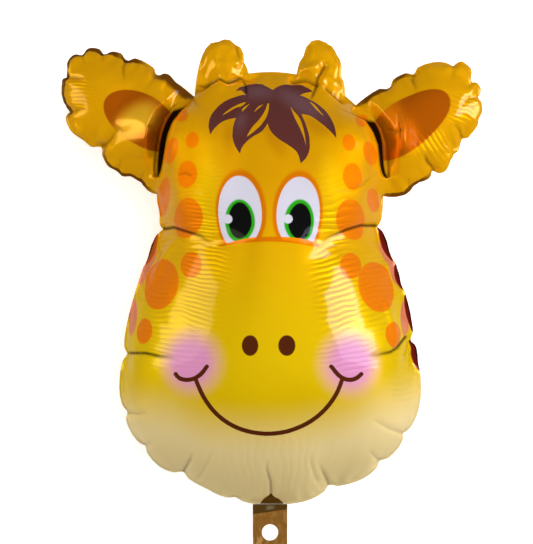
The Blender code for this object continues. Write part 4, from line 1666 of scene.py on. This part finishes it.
@dataclass
class FillingTail:
    """The flat filling tail below the chin, with its hole."""

    columns: int = 26
    rows: int = 44
    crinkle: float = 0.0004
    crinkles: tuple[int, int] = (60, 140)
    hole_half: float = 0.00975
    hole_from_end: float = 0.030
    hole_reach: float = 1.4
    corner: float = 0.007
    fullness: float = 0.7
    sharp_angle: float = 50

    def build(self) -> bpy.types.Object:
        """Make and dress the tail.

        Returns:
            The piece.
        """
        low, high = (Vector(corner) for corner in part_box("filling_tail"))
        centre = Vector(((low.x + high.x) / 2, low.y + self.hole_from_end, 0))
        bm = bmesh.new()
        bmesh.ops.create_grid(bm, x_segments=self.columns, y_segments=self.rows, size=0.5)
        for vert in bm.verts:
            vert.co = (low.x + (vert.co.x + 0.5) * (high.x - low.x), low.y + (vert.co.y + 0.5) * (high.y - low.y), 0)
        gone = [face for face in bm.faces if (face.calc_center_median() - centre).length < self.hole_half]
        bmesh.ops.delete(bm, geom=gone, context="FACES")
        for vert in bm.verts:
            away = vert.co.xy - centre.xy
            at_edge = any(len(edge.link_faces) == 1 for edge in vert.link_edges)
            if at_edge and away.length < self.hole_half * self.hole_reach:
                away.length = self.hole_half
                vert.co.xy = centre.xy + away
        for vert in bm.verts:
            for side in (-1, 1):
                pivot = Vector(((low.x + self.corner) if side < 0 else (high.x - self.corner), low.y + self.corner))
                away = vert.co.xy - pivot
                if away.y < 0 and away.x * side > 0 and away.length > 0:
                    square = max(abs(away.x), abs(away.y))
                    vert.co.xy = pivot + away * (square / away.length)
            wrinkle = noise.noise((vert.co.x * self.crinkles[0], vert.co.y * self.crinkles[1], 0))
            vert.co.z = (low.z + high.z) / 2 + wrinkle * self.crinkle
        bmesh.ops.solidify(bm, geom=bm.faces[:], thickness=(high.z - low.z) * self.fullness)
        bmesh.ops.recalc_face_normals(bm, faces=bm.faces)
        mesh = bpy.data.meshes.new("tail_foil")
        bm.to_mesh(mesh)
        bm.free()
        mesh.shade_smooth()
        mesh.set_sharp_from_angle(angle=math.radians(self.sharp_angle))
        piece = placed("tail_foil", mesh)
        piece.data.materials.append(TailFoil().material())
        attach(piece, "root")
        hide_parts("filling_tail")
        return piece


@dataclass(frozen=True)
class Lamp:
    """A soft lamp that the camera does not see: its power in watts, its place, turn and sizes."""

    name: str
    power: float
    place: Triple
    turn: Triple
    size: Point
    colour: Triple = (1, 1, 1)
    glossy: bool = False

    def hang(self) -> bpy.types.Light:
        """Hang the lamp.

        Returns:
            Its light.
        """
        light = bpy.data.lights.new(self.name, "AREA")
        light.shape = "RECTANGLE"
        light.size, light.size_y = self.size
        light.energy = self.power
        light.color = self.colour
        lamp = placed(self.name, light)
        lamp.location = self.place
        lamp.rotation_euler = self.turn
        lamp.visible_glossy = self.glossy
        lamp.visible_camera = False
        return light


@dataclass(frozen=True)
class Softbox:
    """An upright softbox beside the balloon: its power in watts, the ranges of y and z that it covers.

    Its upper edge falls with a slope from a shoulder on. One without a shoulder leaves no reflection.
    """

    name: str
    power: float
    x: float
    across: Point
    up: Point
    colour: Triple = (1, 1, 1)
    shoulder: Optional[float] = None
    slope: float = 1.9
    soft: float = 0.08

    def build(self) -> None:
        """Set up the softbox."""
        shown = self.shoulder is not None
        light = Lamp(self.name, self.power, (self.x, sum(self.across) / 2, sum(self.up) / 2),
                     (math.pi / 2, 0, math.copysign(math.pi / 2, self.x)),
                     (self.across[1] - self.across[0], self.up[1] - self.up[0]), self.colour, shown).hang()
        if shown:
            shader = Shader(light, "Emission")
            u, v, _ = shader.parts(shader.node("ShaderNodeTexCoord").outputs["UV"])
            y = (u * light.size + self.across[0]) if self.x > 0 else (self.across[1] - u * light.size)
            room = self.up[1] - (y - self.shoulder).most(0.0) * self.slope - (v * light.size_y + self.up[0])
            shader.finish(Strength=room.step(0.0, self.soft) * v.step(0.0, self.soft) * (1 - v).step(0.0, self.soft))


@dataclass(frozen=True)
class Studio:
    """The floor, the soft light and the camera."""

    floor_size: float = 8.0
    floor_height: float = -0.0005
    floor_colour: Colour = (0.93, 0.93, 0.93, 1)
    floor_grain: Colour = (0.85, 0.85, 0.85, 1)
    floor_glow: float = 0.45
    sky: tuple[Point, ...] = ((0, 0.28), (0.10, 0.28), (0.35, 0.05), (0.60, 0.03), (0.95, 0.02))
    fills: tuple[Lamp, ...] = (
        Lamp("fill", 43.0, (0.55, 0.35, 1.9), (0, 0, 0), (2.0, 2.0)),
        Lamp("chin_fill", 5.0, (0.2, -1.6, 0.95), (math.pi / 2, 0, 0), (2.0, 2.0)))
    softboxes: tuple[Softbox, ...] = (
        Softbox("left_softbox", 6.2, -1.35, (-0.09, 0.95), (0.40, 1.80), (1, 0.96, 0.60), 0.42, 2.85),
        Softbox("right_softbox", 9.8, 1.35, (-0.09, 0.78), (0.45, 1.60), (0.97, 0.98, 1.30), 0.31),
        Softbox("left_fill", 11.0, -1.5, (-0.8, 0.8), (0.1, 1.1), (1, 1, 1.22)),
        Softbox("right_fill", 9.0, 1.5, (-0.8, 0.8), (0.1, 1.1)))

    def floor(self) -> None:
        """A plain pale floor."""
        shader = Shader(bpy.data.materials.new("pale_floor"))
        grain = shader.grain(shader.node("ShaderNodeTexCoord").outputs["Object"], 30.0, 2.0)
        pale = shader.mix(grain * 0.02, self.floor_colour, self.floor_grain)
        material = shader.finish(Base_Color=pale, Roughness=0.9, Emission_Color=(1, 1, 1, 1),
                                 Emission_Strength=self.floor_glow)
        bm = bmesh.new()
        bmesh.ops.create_grid(bm, x_segments=1, y_segments=1, size=self.floor_size / 2)
        mesh = bpy.data.meshes.new("floor")
        bm.to_mesh(mesh)
        bm.free()
        mesh.materials.append(material)
        floor = placed("floor", mesh)
        floor.location.z = self.floor_height
        floor.visible_glossy = False

    def world(self) -> None:
        """Soft light from all round, dim overhead."""
        world = bpy.data.worlds.new("studio")
        shader = Shader(world, "Background")
        up = shader.parts(shader.node("ShaderNodeTexCoord").outputs["Generated"])[2]
        level = shader.value("ShaderNodeMapRange", {}, {"Value": up, "From Min": -1.0}, "Result")
        shader.finish(Color=shader.value("ShaderNodeValToRGB", {"stops": self.sky}, {0: level}))
        bpy.context.scene.world = world

    def camera(self, seam: float) -> None:
        """A camera straight over the seam plane, at the photograph's framing."""
        lens = bpy.data.cameras.new("camera")
        lens.sensor_fit = "HORIZONTAL"
        lens.sensor_width = 36.0
        lens.lens = lens.sensor_width * PHOTO.distance / (PHOTO.width * PHOTO.metres_per_pixel)
        lens.clip_end = 50.0
        camera = placed("camera", lens)
        camera.location = (*PHOTO.eye(), seam + PHOTO.distance)
        bpy.context.scene.camera = camera

    def build(self, seam: float) -> None:
        """Set up floor, light and camera."""
        self.floor()
        self.world()
        for softbox in self.softboxes:
            softbox.build()
        for lamp in self.fills:
            lamp.hang()
        self.camera(seam)
        bpy.context.scene.view_settings.view_transform = "Standard"


def main() -> None:
    """Build the balloon, its tail and the studio, and report each piece."""
    logging.basicConfig(level=logging.INFO, format="%(message)s")
    balloon = Balloon()
    pieces = balloon.build()
    pieces.append(FillingTail().build())
    Studio().build(balloon.seam_height())
    for piece in pieces:
        log.info("%s: %d faces", piece.name, len(piece.data.polygons))


if __name__ == "__main__":
    main()
